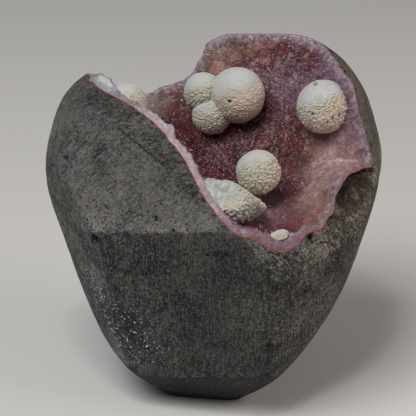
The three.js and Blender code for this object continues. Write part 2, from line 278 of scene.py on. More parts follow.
def cells(points, size, seed):
    """Distances to the nearest and next of scattered seeds, in sizes, and the nearest's random tag.

    One seed lies at random in each cube of a lattice, and the 27 cubes round a point are searched.
    """
    random, key = scatter_keys(seed)
    places = random.random((256, 3))
    tags = random.random(256)
    p = points / size
    cell = np.floor(p).astype(int)
    nearest = np.full(p.shape[:-1], 9.0)
    second = nearest.copy()
    tag = np.zeros_like(nearest)
    for step in np.ndindex(3, 3, 3):
        cube = cell + np.array(step) - 1
        entry = key(cube)
        away = np.linalg.norm(cube + places[entry] - p, axis=-1)
        closer = away < nearest
        second = np.where(closer, nearest, np.minimum(second, away))
        tag = np.where(closer, tags[entry], tag)
        nearest = np.where(closer, away, nearest)
    return nearest, second, tag


# ---------------------------------------------------------------- the ground block
def closeness(planes, w, sharpness, others):
    """One over the distance to planes: the sum of (lean / distance)^sharpness, to 1 / sharpness."""
    leans = np.maximum(w @ direction(planes[:, 0], planes[:, 1]).T, 0) / (planes[:, 2] * MM)
    leans = np.concatenate([leans, others[..., None]], -1)
    most = leans.max(-1)
    return most * ((leans / most[..., None]) ** sharpness).sum(-1) ** (1 / sharpness)


def ground_radius(w):
    """Distance from the heart to the ground surface: crisp front facets, softer ones, flat base."""
    front = closeness(FRONT_FACETS, w, FRONT_SHARPNESS, np.full(w.shape[:-1], 1.0))
    radius = 1 / closeness(FACETS, w, EDGE_SHARPNESS, front)
    return np.minimum(radius, HEART[2] / np.maximum(-w[..., 2], 1e-6))


def on_ground(w):
    """Points of the ground surface in given directions from the heart."""
    return HEART + w * ground_radius(w)[..., None]


def closed_curve(points, count, samples=64):
    """Closed centripetal Catmull-Rom curve through points, taken at equal steps of its length."""
    p0, p1, p2, p3 = (np.roll(points, shift, 0) for shift in (1, 0, -1, -2))
    d0, d1, d2 = (np.sqrt(np.linalg.norm(b - a, axis=1))[:, None] for a, b in ((p0, p1), (p1, p2), (p2, p3)))
    m1 = ((p1 - p0) / d0 - (p2 - p0) / (d0 + d1) + (p2 - p1) / d1) * d1
    m2 = ((p2 - p1) / d1 - (p3 - p1) / (d1 + d2) + (p3 - p2) / d2) * d1
    t = (np.arange(samples) / samples)[None, :, None]
    p1, p2, m1, m2 = (a[:, None, :] for a in (p1, p2, m1, m2))
    curve = (2 * t ** 3 - 3 * t ** 2 + 1) * p1 + (t ** 3 - 2 * t ** 2 + t) * m1
    curve = (curve + (3 * t ** 2 - 2 * t ** 3) * p2 + (t ** 3 - t ** 2) * m2).reshape(-1, 3)
    curve = np.concatenate([curve, curve[:1]])
    length = np.concatenate([[0], np.cumsum(np.linalg.norm(np.diff(curve, axis=0), axis=1))])
    steps = np.arange(count) / count * length[-1]
    return np.stack([np.interp(steps, length, curve[:, k]) for k in range(3)], -1)


def rim_directions(count):
    """Directions of the vug's outer edge at equal steps along it."""
    return unit(closed_curve(on_ground(direction(RIM[:, 0], RIM[:, 1])), count) - HEART)


def ring_azimuth(w):
    """Azimuth in degrees, from -270 to 90, so that the front of the rim has no jump."""
    azimuth = np.degrees(np.arctan2(w[..., 1], w[..., 0]))
    return np.where(azimuth > 90, azimuth - 360, azimuth)


def ground_share(w):
    """How far the crust's edge is ground flat: 1 along the front, 0 on the natural rim."""
    start, end, fade = CUT_EDGE
    azimuth = ring_azimuth(w)
    return smooth(start - fade, start, azimuth) * (1 - smooth(end, end + fade, azimuth))


def edge_width(w):
    """Width of the crust's edge: wide where ground flat, swollen at SWELLS, a little ragged."""
    azimuth = ring_azimuth(w)
    swell = sum(extra * MM * np.exp(-((azimuth - middle) / half) ** 2) for middle, half, extra in SWELLS)
    ragged = 0.30 * waves(w, 0.055, 11) + 0.22 * waves(w, 0.022, 12)
    return (RIM_WIDTH + (CUT_WIDTH - RIM_WIDTH) * ground_share(w) + swell) * (1 + ragged)


def back_step(w):
    """How far rim directions lie on the step at the back: 1 on it, fading over a few degrees."""
    start, full, fading, end = BACK_STEP
    azimuth = ring_azimuth(w) % 360
    return smooth(start, full, azimuth) * (1 - smooth(fading, end, azimuth))


def proud(points):
    """How points near the horn's end are lifted: by the sum of height exp(-(distance / reach)^2)."""
    rise = np.zeros(points.shape[:-1])
    for *middle, reach, height in NOSES * MM:
        away = np.linalg.norm(points - middle, axis=-1) / reach
        rise += height * np.exp(-away ** 2)
    return unit(points - HEART) * rise[..., None]


def inward(w, distance):
    """A ring of rim directions moved over the ground surface into the opening.

    They move towards its middle, and square to the rim where the rim steps down at the back.
    """
    middle = direction(*OPENING)
    toward = unit(middle - w * (w @ middle)[:, None])
    along = unit(np.roll(w, -STEP_SPAN, 0) - np.roll(w, STEP_SPAN, 0))
    square = unit(toward - along * (toward * along).sum(-1, keepdims=True))
    toward = unit(toward + (square - toward) * back_step(w)[:, None])
    angle = (distance / ground_radius(w))[..., None]
    return np.cos(angle) * w + np.sin(angle) * toward


def bowl(edge, shares, depth):
    """The vug's bowl: rows of points from its rim (share 1) down to its floor (share 0).

    Each point swings from the floor's direction to its edge point's, seen from the bowl's
    middle, and its distance grows from depth to the edge's with the cube of the share. Low
    down, the edge is averaged along the rim, so the wall runs calm.
    """
    shares = shares[:, None] if shares.ndim == 1 else shares
    span = round(RIM_CALM * len(edge))
    calm = sum(np.roll(edge, k, 0) for k in range(-span, span + 1)) / (2 * span + 1)
    arm = calm + (edge - calm) * smooth(RIM_BLEND, 1, shares)[..., None] - BOWL_MIDDLE
    reach = np.linalg.norm(arm, axis=-1)
    share = shares + np.zeros_like(reach)
    away = swing(-direction(*BOWL_FACING) + np.zeros_like(arm), arm / reach[..., None], share)
    return BOWL_MIDDLE + away * (depth + (reach - depth) * share ** VUG_CURVE)[..., None]


def bowl_floor(depth):
    """Deepest point of the bowl."""
    return BOWL_MIDDLE - direction(*BOWL_FACING) * depth


# ---------------------------------------------------------------- meshes
def ring_mesh(first, rows, last):
    """Points, quads and triangles of a closed surface: a pole, rings of equal count, a last pole."""
    count, columns = rows.shape[:2]
    i, j = np.meshgrid(np.arange(count - 1), np.arange(columns), indexing="ij")
    low = 1 + i * columns
    after = (j + 1) % columns
    quads = np.stack([low + j, low + after, low + columns + after, low + columns + j], -1).reshape(-1, 4)
    column = np.arange(columns)
    after = (column + 1) % columns
    top = 1 + (count - 1) * columns
    start = np.stack([np.zeros_like(column), 1 + after, 1 + column], -1)
    end = np.stack([top + column, top + after, np.full_like(column, 1 + count * columns)], -1)
    points = np.concatenate([first[None], rows.reshape(-1, 3), last[None]])
    return points, quads, np.concatenate([start, end])


def cube_sphere(count):
    """Directions and quads of a sphere: the faces of a cube, count squares along an edge, drawn
    out to length one, with each square's place on the face as tan(pi/4 t) to even out their sizes.
    """
    t = np.arange(count + 1)
    u, v = np.meshgrid(t, t, indexing="ij")
    low, high = np.zeros_like(u), np.full_like(u, count)
    sides = [(high, u, v), (low, v, u), (v, high, u), (u, low, v), (u, v, high), (v, u, low)]
    places = np.stack([np.stack(side, -1) for side in sides])
    key = (places * np.array([1, count + 1, (count + 1) ** 2])).sum(-1)
    _, first, number = np.unique(key, return_index=True, return_inverse=True)
    number = number.reshape(key.shape)
    corners = (number[:, :-1, :-1], number[:, 1:, :-1], number[:, 1:, 1:], number[:, :-1, 1:])
    quads = np.stack(corners, -1).reshape(-1, 4)
    flat = places.reshape(-1, 3)[first] / count * 2 - 1
    return unit(np.tan(flat * math.pi / 4)), quads


def spikes(feet, axes, radii, heights, sides, random):
    """Many small closed pyramids: a ring of corners round each foot, and a tip above it."""
    count = len(feet)
    helper = np.where(np.abs(axes[:, 2:]) < 0.9, [[0, 0, 1.0]], [[1.0, 0, 0]])
    across = unit(np.cross(axes, helper))
    along = np.cross(axes, across)
    turn = random.uniform(0, 2 * math.pi, (count, 1)) + np.arange(sides) * 2 * math.pi / sides
    ring = np.cos(turn)[..., None] * across[:, None] + np.sin(turn)[..., None] * along[:, None]
    ring = feet[:, None] + ring * radii[:, None, None]
    tips = feet + axes * heights[:, None]
    points = np.concatenate([ring, tips[:, None]], 1).reshape(-1, 3)
    k = np.arange(sides)
    walls = np.stack([k, (k + 1) % sides, np.full(sides, sides)], -1)
    floor = np.stack([np.zeros(sides - 2, int), k[2:], k[1:-1]], -1)
    faces = np.concatenate([walls, floor])
    return points, (faces + (np.arange(count) * (sides + 1))[:, None, None]).reshape(-1, 3)


def diagonals_crossed(corner):
    """Cross product of the diagonals of squares: square to each, and twice its area long."""
    return np.cross(corner[:, 2] - corner[:, 0], corner[:, 3] - corner[:, 1])


def vertex_normals(points, *face_sets):
    """Normals at the points: the sum of the area normals of the faces round each."""
    total = np.zeros_like(points)
    for faces in face_sets:
        corner = points[faces]
        if faces.shape[1] == 4:
            area = diagonals_crossed(corner)
        else:
            area = np.cross(corner[:, 1] - corner[:, 0], corner[:, 2] - corner[:, 0])
        for k, axis in np.ndindex(faces.shape[1], 3):
            total[:, axis] += np.bincount(faces[:, k], area[:, axis], len(points))
    return unit(total)


def scatter(points, face_sets, values, density, count, random):
    """Random places on a mesh's squares, as likely as area times density: places, normals, values.

    A place lies the shares u and v across its square, and takes (1 - u)(1 - v), u(1 - v), uv
    and (1 - u)v of what the corners have. The normals aren't brought back to length one.
    """
    quads = face_sets[0]
    area = np.linalg.norm(diagonals_crossed(points[quads]), axis=-1) * density
    pick = quads[np.searchsorted(np.cumsum(area) / area.sum(), random.random(count))]
    u, v = random.random((2, count, 1))
    weight = np.stack([(1 - u) * (1 - v), u * (1 - v), u * v, (1 - u) * v], 1)
    places = (points[pick] * weight).sum(1)
    normals = (vertex_normals(points, *face_sets)[pick] * weight).sum(1)
    taken = {key: (value[pick] * weight[..., 0]).sum(1) for key, value in values.items()}
    return places, normals, taken


def add_piece(name, points, face_sets, rounded=True, values=None, chart=None):
    """Puts a mesh into the scene: quads and triangles, float attributes by point, a UV map by corner."""
    mesh = bpy.data.meshes.new(name)
    mesh.vertices.add(len(points))
    mesh.vertices.foreach_set("co", points.astype(np.float32).ravel())
    sizes = np.concatenate([np.full(len(faces), faces.shape[1]) for faces in face_sets])
    corners = np.concatenate([faces.ravel() for faces in face_sets])
    mesh.loops.add(len(corners))
    mesh.loops.foreach_set("vertex_index", corners.astype(np.int32))
    mesh.polygons.add(len(sizes))
    mesh.polygons.foreach_set("loop_start", (np.cumsum(sizes) - sizes).astype(np.int32))
    mesh.polygons.foreach_set("use_smooth", np.full(len(sizes), rounded))
    for key, value in (values or {}).items():
        attribute = mesh.attributes.new(key, "FLOAT", "POINT")
        attribute.data.foreach_set("value", value.astype(np.float32))
    if chart is not None:
        layer = mesh.uv_layers.new(name="grind")
        layer.data.foreach_set("uv", chart(corners, sizes).astype(np.float32).ravel())
    mesh.update(calc_edges=True)
    mesh.validate()
    piece = bpy.data.objects.new(name, mesh)
    bpy.context.scene.collection.objects.link(piece)
    return piece


def add_spikes(name, feet, axes, radii, heights, sides, values, random):
    """Puts spikes into the scene as one piece. Each spike has one value of every kind."""
    points, faces = spikes(feet, axes, radii, heights, sides, random)
    values = {key: np.repeat(value, sides + 1) for key, value in values.items()}
    return add_piece(name, points, (faces,), rounded=False, values=values)


# ---------------------------------------------------------------- basalt
BLOCK_COLUMNS = 440
SKIN_ROWS = 150
EDGE_ROWS = 30                             # close rows in the last stretch up to the rim
EDGE_SHARE = 0.955                         # where the close rows start
WALL_ROWS = 22
BASE_ROWS = 5
HALVINGS = 24                              # steps in the search for the edge of the flat base
SLOPE_SHARE = 0.97                         # how far up the vug's wall its slope is measured
GROOVE_REACH = 12 * MM                     # the groove moves no skin further than this from the rim
EARTH_DEPTH = 4 * MM                       # a dish this deep is full of earth
DOWN = np.array([0, 0, -1.0])
# Groove in the stone beside the crust on the right: azimuth, depth and width in mm.
GROOVE = np.array([
    [-50, 0, 1], [-38, 1.2, 2.5], [-28, 4.5, 5], [-16, 5, 5], [-14.5, 4, 3], [-12.5, 3.2, 2.4],
    [-9, 2.6, 1.8], [-4, 2, 1.5], [10, 1.2, 1.2], [28, 0, 1],
])


def ragged_rim(count):
    """Rim directions with small chips: the curve moved sideways over the ground by random waves."""
    edge = on_ground(rim_directions(count))
    along = np.roll(edge, -1, 0) - np.roll(edge, 1, 0)
    side = unit(np.cross(along, edge - HEART))
    natural = 1 - ground_share(unit(edge - HEART))
    chips = 0.22 * waves(edge, 2.6 * MM, 21) + 0.13 * waves(edge, 1.1 * MM, 22)
    chips = chips * (1 + 0.9 * natural) + 0.3 * natural * waves(edge, 5 * MM, 23)
    chips = chips * (1 - 0.9 * back_step(unit(edge - HEART)))
    return unit(edge + side * chips[:, None] * MM - HEART)


def base_shares(rim):
    """Share of the way from straight down to each rim direction where the flat base ends."""
    inside, outside = np.zeros(len(rim)), np.full(len(rim), 0.5)
    for _ in range(HALVINGS):
        middle = (inside + outside) / 2
        flat = on_ground(swing(DOWN, rim, middle))[:, 2] < 1e-9
        inside, outside = np.where(flat, middle, inside), np.where(flat, outside, middle)
    return inside


def hollow_depth(w):
    """Depth of the natural dishes: depth (1 - (angle / width)^2)^2, the deeper one where two meet."""
    deepest = np.zeros(w.shape[:-1])
    for azimuth, elevation, width, depth in HOLLOWS:
        away = np.degrees(angle_between(w, direction(azimuth, elevation))) / width
        deepest = np.maximum(deepest, depth * MM * np.clip(1 - away ** 2, 0, 1) ** 2)
    return deepest


def facet_of(w):
    """Row in PLANES of the ground facet that lies in each direction from the heart."""
    return ((w @ direction(PLANES[:, 0], PLANES[:, 1]).T) / PLANES[:, 2]).argmax(-1)


def grind_chart(points):
    """Chart of the ground facets in mm: each face takes two axes across the facet it lies on."""
    normals = direction(PLANES[:, 0], PLANES[:, 1])
    level = unit(np.cross([0, 0, 1.0], normals))
    rise = np.cross(normals, level)
    turn = np.radians(GRIND_TURNS)[:, None]
    along = np.cos(turn) * level + np.sin(turn) * rise
    across = np.cos(turn) * rise - np.sin(turn) * level

    def chart(corners, sizes):
        owner = np.repeat(np.arange(len(sizes)), sizes)
        total = np.stack([np.bincount(owner, points[corners, k]) for k in range(3)], -1)
        facet = facet_of(unit(total / sizes[:, None] - HEART))[owner]
        place = points[corners] / MM
        return np.stack([(place * axes[facet]).sum(-1) for axes in (along, across)], -1)

    return chart


def basalt_surface(stone):
    """The block: rings from the flat base up the ground skin to the rim, then down the vug's wall.

    The skin swings from straight down to each rim direction, out to the ground surface. Dishes,
    pits and a slow unevenness are taken off it. Beside the crust on the right the edge drops
    down the vug's wall, and the skin follows it down with (1 - distance / width) squared.
    Its values say where it is dark in pits and the groove (painted shade), full of earth in a dish,
    how each facet is toned pale or rough with the low facets darkened as painted shade, brown on the
    right (warm), dappled on the sides (side), and its zones, where a few smudges are painted shade.
    """
    rim = ragged_rim(BLOCK_COLUMNS)
    outer = on_ground(rim)
    starts = base_shares(rim)
    steps = np.concatenate([
        np.linspace(0, EDGE_SHARE, SKIN_ROWS, endpoint=False), np.linspace(EDGE_SHARE, 1, EDGE_ROWS)])
    share = starts + (1 - starts) * steps[:, None]
    w = swing(DOWN, rim, share)
    skin = on_ground(w)
    dish = hollow_depth(w)
    uneven = waves(skin, 11 * MM, 31) + 0.45 * layers(skin, 3.2 * MM, 32)
    fade = (1 - smooth(0.97, 1, steps)) * smooth(0, 0.03, steps)
    sunk = stone.unevenness * uneven * fade[:, None]
    sunk += dish * (1 - smooth(0.965, 1, share)) * (1 + 0.55 * layers(skin, 2.6 * MM, 36, 4))
    crumbled = 1 + 0.25 * waves(skin, 0.8 * MM, 37)
    pitted = np.zeros_like(sunk)
    for azimuth, elevation, radius, depth in PITS:
        away = np.linalg.norm(skin - on_ground(direction(azimuth, elevation)), axis=-1) / (radius * MM)
        pit = np.exp(-(away * crumbled) ** 4)
        pitted = np.maximum(pitted, pit)
        sunk += pit * depth * MM
    skin = skin - w * sunk[..., None]
    skin[0, :, 2] = 0

    along = ring_azimuth(rim)
    depth, width = (
        np.interp(along, GROOVE[:, 0], GROOVE[:, k]) * MM * (1 + change * waves(outer, size, seed))
        for k, change, size, seed in ((1, 0.5, 4 * MM, 41), (2, 0.4, 3 * MM, 42)))
    below = bowl(outer, np.array([SLOPE_SHARE]), VUG_DEPTH)[0]
    slope = np.linalg.norm(below - outer, axis=-1) / (1 - SLOPE_SHARE)
    shares = (1 - depth / slope) * (1 - np.arange(WALL_ROWS) / WALL_ROWS)[:, None]
    wall = bowl(outer, shares, VUG_DEPTH)
    away = np.linalg.norm(skin - outer, axis=-1)
    drop = np.clip(1 - away / width, 0, 1) ** 2 * (away < GROOVE_REACH)
    skin = skin + (wall[0] - outer) * drop[..., None]
    # Painted shadow: the groove beside the crust is painted dark as the shadow of the crust's edge.
    groove = drop * smooth(0.2, 1.2, depth / MM)

    inwards = 1 - np.arange(BASE_ROWS, 0, -1) / (BASE_ROWS + 1)
    base = skin[:1] * inwards[:, None, None] * np.array([1, 1, 0])
    rows = np.concatenate([base, skin[:-1], wall])
    points, quads, ends = ring_mesh(np.zeros(3), rows, bowl_floor(VUG_DEPTH))

    def by_point(on_skin):
        """Values by point: 0 on the base, those given on the skin, and 1 down the vug's wall."""
        on_base, on_wall = np.zeros((BASE_ROWS, BLOCK_COLUMNS)), np.ones((WALL_ROWS, BLOCK_COLUMNS))
        return np.concatenate([[0], np.concatenate([on_base, on_skin[:-1], on_wall]).ravel(), [1]])

    w = unit(points - HEART)
    lean = np.abs(w[:, 0])
    values = {
        # Painted shade: pits and the groove are darkened by this value as their shade.
        "dark": by_point(np.maximum(pitted, groove)),
        "dish": by_point(dish / EARTH_DEPTH),
        # Facet tone, which is also painted shade on the low and downward facets.
        "shade": FACET_TONES_AND_SHADE[facet_of(w)],
        "warm": smooth(8 * MM, 42 * MM, points[:, 0]),
        "side": np.maximum(smooth(0, 0.45, lean) * smooth(0.2, -0.1, w[:, 2]), smooth(0.8, 0.95, lean)),
        **zones(points, STONE_ZONES),
    }
    return points, (quads, ends), values


# ---------------------------------------------------------------- chalcedony
CRUST_COLUMNS = 420
OUTER_ROWS = 12
BAND_ROWS = 7
LINING_ROWS = 190
LINING_SPREAD = 0.75                       # below 1 puts more of the rows near the rim
SINK = 0.12 * MM                           # how far the crust's back reaches into the basalt
FAR = 99                                   # stands for the edge's distance at the floor, in mm
# Calm, glassy places of the lining, and its colour zones: x, y, z and reach in mm.
CALM_ZONES = {"calm": [
    [30.4, -23.7, 65.4, 9], [24.3, -33, 61.6, 9], [34, -11, 71, 9], [38, -9, 75, 7], [20, -18, 63, 7],
    [10, -36, 62, 6], [-16, 22, 77, 7], [-8, 13, 73, 4],
]}
CRUST_ZONES = {
    # Darker places under the rim's overhang and beneath the balls: partly painted shade.
    "dark": [
        [15, 15, 80, 9], [-13, 17, 75, 8], [19, -15, 63, 5], [2, 6, 68, 7], [24, -1, 70, 6],
        [-27.8, -8, 94.6, 2.4],
    ],
    "brown": [
        [5, 27, 92, 6], [-1, 25, 88, 5], [13, 25, 95, 3.5], [32, -2.5, 75, 5], [28, -27, 64, 4.5],
        [-27.8, -8, 94.6, 2.6],
    ],
    "grey": [[-19, 22, 77.4, 5], [-17, 28, 79, 5], [0, 29, 95, 3.5], [3, 28, 97.5, 3.5], [-2, 29, 90, 3]],
    "lilac": [
        [35, -1, 91, 8], [33, 8, 94, 8], [37, -8, 79, 6], [41, -8, 83, 7], [24, 14, 86, 6], [15, -22, 61, 9],
    ],
    "peach": [[34, -12, 70, 7], [30, -20, 66, 6], [38, -9, 75, 6], [35, -18, 71, 5]],
    "horn": [[-33, -5, 94.3, 6], [-29, -12, 94.3, 5]],
    "frost": [[16, 14, 79, 7], [19, 18, 87, 5], [0, 3, 67, 4], [39, -7, 84, 6], [35, 5, 93, 5]],
}


def crust_surface(crust):
    """The crust: up its back from the floor to the rim, over the edge, and down its druzy face.

    The back is the basalt's wall, a hair inside it. The edge lies on the ground surface
    between the rim and the rim moved inward by the edge's width. The face is a bowl of
    lesser depth, raised by slow swells, bumps and grains along its normals. Its values are
    the distances in mm from the rim (edge) and from the band (inside), the druzy lip of the
    natural rim, and its zones.
    """
    rim = ragged_rim(CRUST_COLUMNS)
    climb = np.linspace(0, 1, OUTER_ROWS + 1)[1:]
    back = bowl(on_ground(rim), climb ** 0.6, VUG_DEPTH)
    arm = back - BOWL_MIDDLE
    back = BOWL_MIDDLE + arm * (1 + SINK / np.linalg.norm(arm, axis=-1, keepdims=True))
    width = edge_width(rim)
    across = np.linspace(0, 1, BAND_ROWS + 1)[:, None]
    band = on_ground(inward(rim, width * across))
    fall = (1 - np.arange(1, LINING_ROWS) / LINING_ROWS) ** LINING_SPREAD
    face = bowl(band[-1], fall, VUG_DEPTH - CRUST)
    rows = np.concatenate([back[:-1], band, face])
    points, quads, ends = ring_mesh(
        bowl_floor(VUG_DEPTH + SINK), rows, bowl_floor(VUG_DEPTH - CRUST))
    normals = vertex_normals(points, quads, ends)

    def by_point(behind, on_band, on_face, floor):
        """Values by point: up the back, across the band, down the face, and on its floor."""
        parts = ((behind, OUTER_ROWS - 1), (on_band, BAND_ROWS + 1), (on_face, LINING_ROWS - 1))
        parts = [value + np.zeros((count, CRUST_COLUMNS)) for value, count in parts]
        return np.concatenate([[behind], np.concatenate(parts).ravel(), [floor]])

    below = np.linalg.norm(face - band[-1], axis=-1) / MM
    edge = by_point(-1, width / MM * across, width / MM + below, FAR)
    inside = by_point(0, 0, below, FAR)
    lip = by_point(0, (1 - ground_share(rim)) * smooth(0, 1, across), 1, 1)

    calm = zones(points, CALM_ZONES)["calm"]
    raised = smooth(0.1, 2.2, inside) * (1 - 0.6 * calm)
    near, far, _ = cells(points, 2.1 * MM, 61)
    domes = smooth(0, 0.7, far - near) - 0.5 + 0.5 * waves(points, 1.3 * MM, 64)
    near, far, tag = cells(points, 0.75 * MM, 62)
    grains = smooth(0, 0.6, far - near) * (0.5 + tag)
    relief = crust.swell * layers(points, 7.5 * MM, 63, 2) * raised
    relief += crust.bumps * domes * np.maximum(raised, 0.5 * lip)
    relief += crust.grains * grains * np.maximum(raised, 0.7 * lip)
    relief += 0.03 * MM * waves(points, 1.5 * MM, 65) * (edge > 0)
    points = points + normals * relief[:, None]
    points = points + proud(points) * (smooth(-0.5, 0.4, edge) * (1 - smooth(1, 4, inside)))[:, None]
    values = {"edge": edge, "inside": inside, "lip": lip, "calm": calm, **zones(points, CRUST_ZONES)}
    return points, (quads, ends), values


def druse_points(crust, random):
    """Random places on the crust's druzy face, with few where it is calm."""
    points, faces, values = crust_surface(crust)
    inside, lip, calm = (values[key][faces[0]] for key in ("inside", "lip", "calm"))
    density = (inside.min(-1) + 0.6 * lip.min(-1) > 0.5) * (1 - 0.88 * calm.mean(-1))
    return scatter(points, faces, values, density, crust.crystals, random)


# ---------------------------------------------------------------- okenite
def grind(points):
    """Points outside the ground surface brought back onto it, and how far each was outside."""
    arm = points - HEART
    reach = np.linalg.norm(arm, axis=-1)
    limit = ground_radius(arm / reach[..., None])
    return HEART + arm * np.minimum(1, limit / reach)[..., None], reach - limit


def ball_surface(lobes, sides, dents, count, okenite, coarse, bleach, tint, ash, seed):
    """A ball, or several grown into one: how far each direction runs before it leaves the last lobe.

    From the middle, direction w leaves a lobe of radius r about c at w.c + sqrt(r^2 - c^2 + (w.c)^2).
    The lobes blend by the eighth root of the sum of eighth powers, and flatter sides cut them
    back in the same way, with one over the distance. The relief is rounded cells with creases
    between them, winding creases and sparse pits: little of it on the bleached top, which
    stands a little proud, more below, and least where the ball is ground flat. A dent takes
    off its depth times exp(-(distance / radius)^4). The values say where it has crevices and
    pits (their bottoms darkened partly as painted shade), is ground flat, lies under the bleached
    top, which faces the key light and stays white partly as painted light, and is stained tan (low),
    partly as painted warm bounce light, or grey (ash), partly as painted shade.
    """
    w, quads = cube_sphere(count)
    lobes = np.atleast_2d(lobes) * MM
    middle = lobes[0, :3]
    total = np.zeros(len(w))
    for *place, radius in lobes:
        arm = place - middle
        along = w @ arm
        under = radius ** 2 - arm @ arm + along ** 2
        leaves = np.where(under > 0, along + np.sqrt(np.maximum(under, 0)), 0)
        total += (leaves / MM) ** LOBE_BLEND
    reach = total ** (1 / LOBE_BLEND) * MM
    if len(sides):
        leans = np.maximum(w @ direction(sides[:, 0], sides[:, 1]).T, 0) / (sides[:, 2] * MM)
        reach = ((1 / reach) ** LOBE_BLEND + (leans ** LOBE_BLEND).sum(-1)) ** (-1 / LOBE_BLEND)
    points, outside = grind(middle + w * reach[:, None])
    flat = smooth(0.2, 3, outside / MM + 0.6 * waves(points, 1.6 * MM, seed + 9))
    normals = vertex_normals(points, quads)
    wander = 0.2 * waves(points, 3 * MM, seed + 8) + 0.1 * waves(points, 0.9 * MM, seed + 10)
    # Painted light and shade: the white top faces the key light, and stains, tan and grey gather on the far
    # side, partly as painted shade and warm bounce light.
    sky = normals @ unit(np.array(BLEACHED_AND_LIT_FROM)) + wander
    under = 1 - smooth(-0.25, 0.35, sky - bleach)
    low = tint * smooth(-0.2, 0.35, normals @ unit(np.array(TAN_STAIN_AND_BOUNCE_FROM)) - wander)
    bent = shifted(points, 0.45 * MM, 1.8 * MM, seed) * np.array([1, 1, 1.3]) / (0.85 + 0.2 * coarse)
    near, far, tag = cells(bent, okenite.cell_size, seed + 3)
    crease = smooth(0, 0.4, far - near)
    winding = 1 - smooth(0, 0.3, np.abs(waves(bent, 0.95 * MM, seed + 4)))
    finer = waves(points, 0.34 * MM, seed + 5)
    hole, _, kind = cells(points, 1.7 * MM, seed + 6)
    pit = (1 - smooth(0.08, 0.17, hole)) * (kind > 0.45) * (1 - 0.6 * under)
    # The dents are darkened like the pits, partly as painted shade.
    for *toward, radius, depth in dents:
        away = np.linalg.norm(w - unit(np.array(toward)), axis=-1) * reach / (radius * MM)
        hollow = np.exp(-away ** 4)
        pit = np.maximum(pit, hollow * (1 - ash))
        points = points - normals * (hollow * depth * MM)[:, None]
    lumps = waves(points, 4.5 * MM, seed + 7)
    rough = (0.22 + 0.78 * under) * coarse
    relief = okenite.relief * rough * (0.5 * crease * (0.6 + 0.8 * tag) - 0.65 * winding + 0.15 * finer)
    relief += 0.15 * MM * lumps + 0.25 * MM * (1 - under) - okenite.pit_depth * pit * (0.3 + 0.7 * under)
    relief = relief * (1 - 0.75 * flat) - 0.22 * MM
    points, _ = grind(points + normals * relief[:, None])
    crevice = (0.75 * (1 - crease) + 0.5 * winding) * (0.12 + 0.88 * under) * (1 - 0.8 * flat)
    # Painted shade: grey is laid on the downward-facing underside, partly as its shade.
    ash = ash * smooth(0.2, 0.9, under) * smooth(-0.3, 0.7, 0.3 - normals[:, 2] + 1.8 * wander) * (1 - flat)
    return points, quads, {
        "crevice": np.clip(crevice, 0, 1), "flat": flat, "under": under, "low": low, "pit": pit, "ash": ash}


def fibre_tufts(points, quads, values, count, random):
    """Feet, axes and values of short fibres over a ball, with none where it is ground flat."""
    grown = values["flat"][quads].max(-1) < 0.3
    feet, axes, values = scatter(points, (quads,), values, grown, count, random)
    return feet, unit(axes + random.normal(0, 0.45, (count, 3))), values


# ---------------------------------------------------------------- material nodes
class Value:
    """A node's output, which can be added, subtracted, multiplied and kept within 0 to 1."""

    def __init__(self, graph, socket):
        self.graph, self.socket = graph, socket

    def __add__(self, other):
        return self.graph.math("ADD", self, other)

    def __sub__(self, other):
        return self.graph.math("SUBTRACT", self, other)

    def __rsub__(self, other):
        return self.graph.math("SUBTRACT", other, self)

    def __mul__(self, other):
        return self.graph.math("MULTIPLY", self, other)

    def kept(self):
        return self.graph.math("ADD", self, 0.0, clamp=True)


